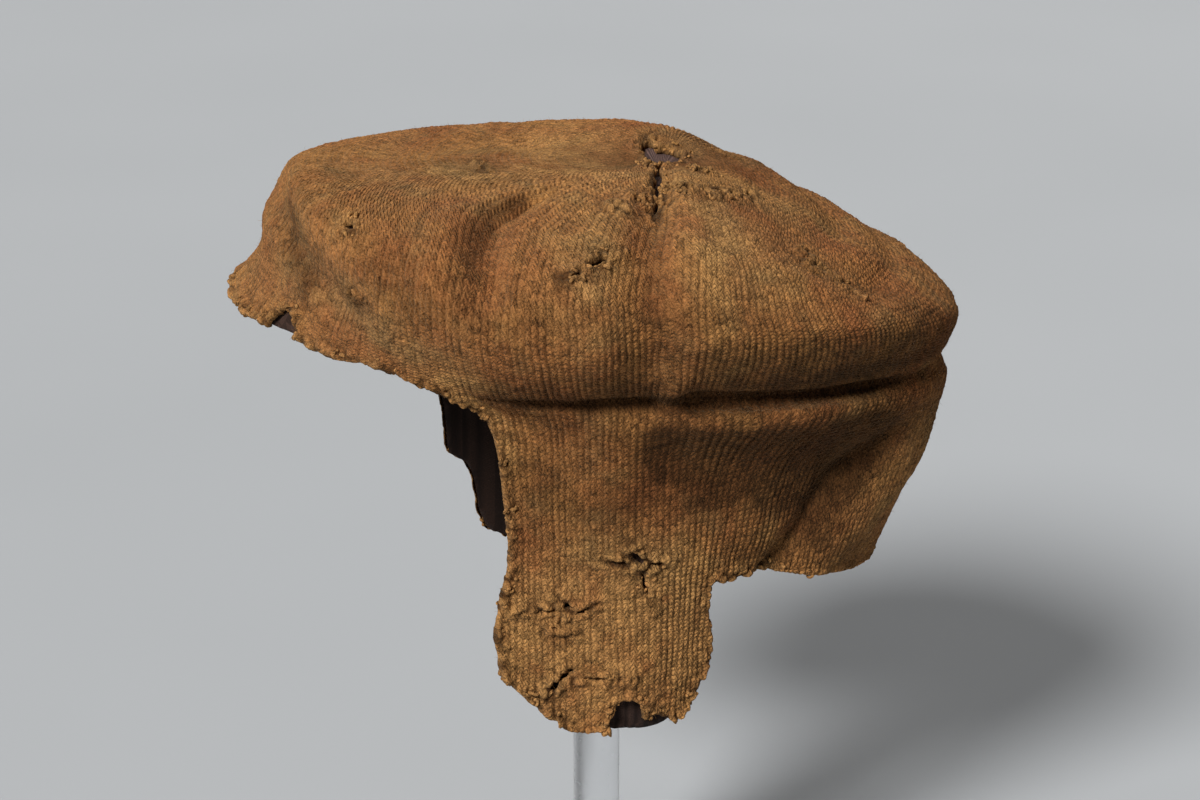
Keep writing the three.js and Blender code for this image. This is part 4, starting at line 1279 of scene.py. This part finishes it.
# %% The lining's cloth
def lining_material():
    material, tree, shader, place = new_material("lining_cloth", 0.85, sheen=0.04, specular=0.12)
    apart = node(tree, "ShaderNodeSeparateXYZ", {},
                 Vector=node(tree, "ShaderNodeUVMap", {"uv_map": "yarn"}).outputs[0])
    across, along = apart.outputs[0], apart.outputs[1]
    rib = math_node(tree, "SINE", math_node(tree, "MULTIPLY", across, 2 * np.pi / 0.95))
    rib = remap(tree, rib, -1, 1)
    stitch = remap(tree, math_node(tree, "SINE", math_node(tree, "MULTIPLY", along, 2 * np.pi / 0.8)), -1, 1)
    faded = remap(tree, grain(tree, place, 45, 3), 0.35, 0.68)
    masks = node(tree, "ShaderNodeAttribute", {"attribute_name": "stains_and_painted_light"})
    sides = node(tree, "ShaderNodeSeparateColor", {}, Color=masks.outputs["Color"])
    color = mix_color(tree, faded, (0.024, 0.013, 0.010, 1), (0.062, 0.034, 0.025, 1))
    color = mix_color(tree, sides.outputs[0], color, (0.13, 0.078, 0.066, 1))
    color = mix_color(tree, sides.outputs[1], color, (0.019, 0.0095, 0.0062, 1))
    # Painted shade in the valleys between the lining's ribs.
    valley_shade = remap(tree, rib, 0, 0.7, 0.45, 1.0)
    color = mix_color(tree, 1.0, color, valley_shade, "MULTIPLY")
    specks = remap(tree, grain(tree, place, 1800, 2, 0.7), 0.3, 0.8, 0.7, 1.5)
    color = mix_color(tree, 1.0, color, specks, "MULTIPLY")
    height = math_node(tree, "MULTIPLY_ADD", rib, math_node(tree, "MULTIPLY_ADD", stitch, 0.3, 0.7), 0.0)
    height = math_node(tree, "MULTIPLY_ADD", grain(tree, place, 1500, 2, 0.7), 0.3, height)
    finished(tree, shader, color, height, 0.9, 0.35)
    return material


mesh_piece("lining_cloth", lining_points, lining_faces, lining_material(), "lining",
           yarn_uv(lining_wale, lining_course, lining_faces), lining_masks)

# %% [markdown]
# Under the crown lies a pad, the piece that the cap really rests on. It is a block of foam
# with a felt cover, round on top to fill the crown and flat below, where the post ends.

# %% The pad under the crown
PAD_DEPTH = 4.6  # mm in from the outside of the wool
PAD_LEVEL = 1.5
PAD_HEIGHT = 26
PAD_EDGE = 3.0  # mm, the radius of its lower edge
PAD_FLAT = RINGS[0][1][0][1] - PAD_DEPTH - PAD_HEIGHT  # where the underside is, from the crease
PAD_SIDES = 120
pad_levels = np.linspace(0, PAD_LEVEL, 25)[1:]
angle, level, faces = closed_grid(pad_levels, PAD_SIDES)
plain = wall_point(angle, level)
wrinkle = 0.5 + 0.5 * noise(plain * (1, 1, 0.5), 9, 50)
pad_points = wall_point(angle, level, PAD_DEPTH + 1.0 + 0.5 * wrinkle * np.clip(level, 0, 1))
last = pad_points[-PAD_SIDES:]
middle = last.mean(axis=0)
inward = middle - last
inward[:, 2] = 0
inward /= np.linalg.norm(inward, axis=1, keepdims=True)
rings = []
for share in np.linspace(0, 1, 8)[1:]:
    ring = last + inward * 0.8 * np.sin(np.pi * share)
    ring[:, 2] += share * (PAD_FLAT + PAD_EDGE - last[:, 2])
    rings.append(ring)
for turn in np.radians([22.5, 45, 67.5, 90]):
    ring = last + inward * PAD_EDGE * (1 - np.cos(turn))
    ring[:, 2] = PAD_FLAT + PAD_EDGE * (1 - np.sin(turn))
    rings.append(ring)
lowest = rings[-1]
for share in (0.2, 0.4, 0.6, 0.8):
    ring = lowest + (middle - lowest) * share
    ring[:, 2] = PAD_FLAT
    rings.append(ring)
first = len(pad_points) - PAD_SIDES
pad_points = np.concatenate([pad_points, *rings, [(middle[0], middle[1], PAD_FLAT)]])
i = np.arange(PAD_SIDES)
under = first + len(rings) * PAD_SIDES
underside = np.stack([under + i, np.full(PAD_SIDES, len(pad_points) - 1), under + (i + 1) % PAD_SIDES], 1)
pad_faces = np.concatenate([faces, *strips(first, PAD_SIDES, len(rings)), underside])
print("pad:", len(pad_points), "points, flat below at", round(PAD_FLAT, 1), "mm from the crease")


# %% Felt for the pad
def felt_material():
    material, tree, shader, place = new_material("pad_felt", 0.95, sheen=0.25, specular=0.1)
    cloud = remap(tree, grain(tree, place, 60, 3), 0.3, 0.7)
    color = mix_color(tree, cloud, (0.56, 0.53, 0.47, 1), (0.66, 0.635, 0.58, 1))
    fibre = remap(tree, grain(tree, place, 1600, 3, 0.7), 0.2, 0.8, 0.75, 1.15)
    color = mix_color(tree, 1.0, color, fibre, "MULTIPLY")
    height = math_node(tree, "ADD", grain(tree, place, 1500, 3, 0.7), grain(tree, place, 400, 2))
    finished(tree, shader, color, height, 0.7, 0.4)
    return material


pad = mesh_piece("crown_pad_felt", pad_points, pad_faces, felt_material(), "crown_pad",
                 yarn_uv(np.zeros(len(pad_points)), np.zeros(len(pad_points)), pad_faces))

# %% [markdown]
# The stand is a disc of white acrylic and a straight rod of clear acrylic, sanded a little.
# The rod bends what lies behind it, and shows the table and the shadow the other way round.
# Both are turned on a lathe in real life, so both are a profile swept round an axis here,
# with small round edges, since a perfectly sharp edge catches no light.

# %% The stand
BASE_RADIUS, BASE_THICKNESS, BASE_EDGE = 85.0, 12.0, 1.5
POST_RADIUS = 9.5
POST_EDGE = 0.6


def turned(profile, sides):
    """Sweeps (radius, height) pairs round the axis, from the lower middle to the upper middle."""
    turn = np.linspace(0, 2 * np.pi, sides, endpoint=False)
    rows = [np.stack([r * np.cos(turn), r * np.sin(turn), np.full(sides, h)], 1) for r, h in profile]
    points = np.concatenate([[(0, 0, profile[0][1])], *rows, [(0, 0, profile[-1][1])]])
    i = np.arange(sides)
    j = (i + 1) % sides
    blocks = [np.stack([np.zeros(sides, int), 1 + j, 1 + i], 1)]
    for row in range(len(profile) - 1):
        a, b = 1 + row * sides + i, 1 + row * sides + j
        blocks.append(quads(a, b, b + sides, a + sides))
    top = 1 + (len(profile) - 1) * sides
    blocks.append(np.stack([top + i, top + j, np.full(sides, len(points) - 1)], 1))
    return points, np.concatenate(blocks)


def round_edges(radius, low, high, edge):
    """A disc's or tube's profile with quarter circles for its two edges."""
    arc = np.radians([0, 22.5, 45, 67.5, 90])
    lower = [(radius - edge + edge * np.sin(a), low + edge - edge * np.cos(a)) for a in arc]
    upper = [(radius - edge + edge * np.cos(a), high - edge + edge * np.sin(a)) for a in arc]
    flat = [radius * share for share in (0.35, 0.7, 0.93) if radius * share < radius - edge]
    return [(r, low) for r in flat] + lower + upper + [(r, high) for r in flat[::-1]]


print("points on the post's profile:", len(round_edges(POST_RADIUS, 0, 100, POST_EDGE)))


# %% Acrylic for the stand
def stand_material():
    material, tree, shader, place = new_material("clear_acrylic", 0.06, specular=0.5)
    shader.inputs["Transmission Weight"].default_value = 1.0
    shader.inputs["IOR"].default_value = 1.49
    cloud = remap(tree, grain(tree, place, 25, 3), 0.3, 0.7)
    color = mix_color(tree, cloud, (0.95, 0.96, 0.975, 1), (0.985, 0.99, 0.995, 1))
    rubbed = remap(tree, grain(tree, place, 220, 4), 0.3, 0.8, 0.26, 0.38)
    tree.links.new(rubbed, shader.inputs["Roughness"])
    finished(tree, shader, color, grain(tree, place, 120, 2, 0.5), 0.1, 0.1)
    return material


def disc_material():
    material, tree, shader, place = new_material("white_acrylic", 0.3, specular=0.4)
    cloud = remap(tree, grain(tree, place, 20, 3), 0.3, 0.7)
    color = mix_color(tree, cloud, (0.66, 0.665, 0.67, 1), (0.70, 0.705, 0.71, 1))
    finished(tree, shader, color)
    rubbed = remap(tree, grain(tree, place, 90, 4), 0.3, 0.8, 0.24, 0.4)
    tree.links.new(rubbed, shader.inputs["Roughness"])
    return material


to_crease = np.array([0, 0, -CREASE_HEIGHT])
points, faces = turned(round_edges(BASE_RADIUS, 0, BASE_THICKNESS, BASE_EDGE), 144)
mesh_piece("stand_disc", points + to_crease, faces, disc_material(), "stand_base",
           yarn_uv(points[:, 0], points[:, 1], faces))
post_top = CREASE_HEIGHT + PAD_FLAT
points, faces = turned(round_edges(POST_RADIUS, BASE_THICKNESS, post_top, POST_EDGE), 72)
mesh_piece("stand_tube", points + to_crease, faces, stand_material(), "stand_post",
           yarn_uv(points[:, 0], points[:, 2], faces))

# %% [markdown]
# Old textiles are photographed in soft light, on a plain table that is larger than the
# picture. The main light comes from the left of the camera, about 40 degrees above the
# table, so that the shadow falls to the right and behind. A weak, broad one hangs overhead,
# and a weaker one behind keeps the back from going black. The sky of the scene is a dim
# grey that lets the hollows go dark. A brighter one would flatten the ribs.

# %% The table
FLOOR_SIZE = 120.0  # m, so that its edge stays out of a low view too
TARGET = (0.02919, -0.00105, 0.24687)
AZIMUTH, ELEVATION, DISTANCE = 85.0, 20.0, 1.3


def from_target(left, towards, up):
    """A place in metres, as seen by the camera but level: left, towards it and up."""
    turn = np.radians(AZIMUTH)
    right = np.array([np.cos(turn), np.sin(turn), 0])
    front = np.array([np.sin(turn), -np.cos(turn), 0])
    return np.array(TARGET) - left * right + towards * front + (0, 0, up)


half = FLOOR_SIZE / 2
floor_mesh = bpy.data.meshes.new("table_top")
corners = [(-half, -half, 0), (half, -half, 0), (half, half, 0), (-half, half, 0)]
floor_mesh.from_pydata(corners, [], [(0, 1, 2, 3)])
floor = bpy.data.objects.new("table_top", floor_mesh)
bpy.context.scene.collection.objects.link(floor)
paper, tree, shader, place = new_material("table_paper", 0.75, specular=0.2)
cloud = remap(tree, grain(tree, place, 2.2, 2), 0.3, 0.7)
color = mix_color(tree, cloud, (0.42, 0.44, 0.46, 1), (0.438, 0.458, 0.479, 1))
finished(tree, shader, color)
floor_mesh.materials.append(paper)
print("table:", FLOOR_SIZE, "m wide")


# %% Lamps and the room
ROOM_LIGHT = 0.065
ROOM_COLOR = (0.64, 0.62, 0.60, 1)


def sun(name, place, power, size):
    """Light from far away, so that the whole table gets as much. size is in degrees of the sky."""
    data = bpy.data.lights.new(name, "SUN")
    data.energy = power
    data.angle = np.radians(size)
    data.color = (1.0, 0.985, 0.965)
    made = bpy.data.objects.new(name, data)
    made.location = place
    made.rotation_mode = "QUATERNION"
    made.rotation_quaternion = (Vector(TARGET) - made.location).to_track_quat("-Z", "Y")
    bpy.context.scene.collection.objects.link(made)


sun("key_lamp", from_target(1.0, 1.7, 1.6), 3.9, 17)
sun("top_lamp", from_target(0.9, -0.3, 2.6), 0.7, 40)
sun("back_lamp", from_target(-0.5, -1.8, 0.8), 0.55, 35)
world = bpy.data.worlds.new("grey_room")
world.use_nodes = True
background = world.node_tree.nodes["Background"]
background.inputs["Color"].default_value = ROOM_COLOR
background.inputs["Strength"].default_value = ROOM_LIGHT
bpy.context.scene.world = world
bpy.context.scene.view_settings.view_transform = "Standard"
print("lamps:", len(bpy.data.lights))

# %% The camera
camera_data = bpy.data.cameras.new("camera")
camera_data.lens = 100
camera_data.sensor_width = 36
camera_data.clip_start, camera_data.clip_end = 0.05, 30
camera = bpy.data.objects.new("camera", camera_data)
rise = np.radians(ELEVATION)
place = from_target(0, DISTANCE * np.cos(rise), DISTANCE * np.sin(rise))
camera.location = place
camera.rotation_mode = "QUATERNION"
camera.rotation_quaternion = (Vector(TARGET) - Vector(place)).to_track_quat("-Z", "Y")
bpy.context.scene.collection.objects.link(camera)
bpy.context.scene.camera = camera
print("camera at", place.round(3).tolist())
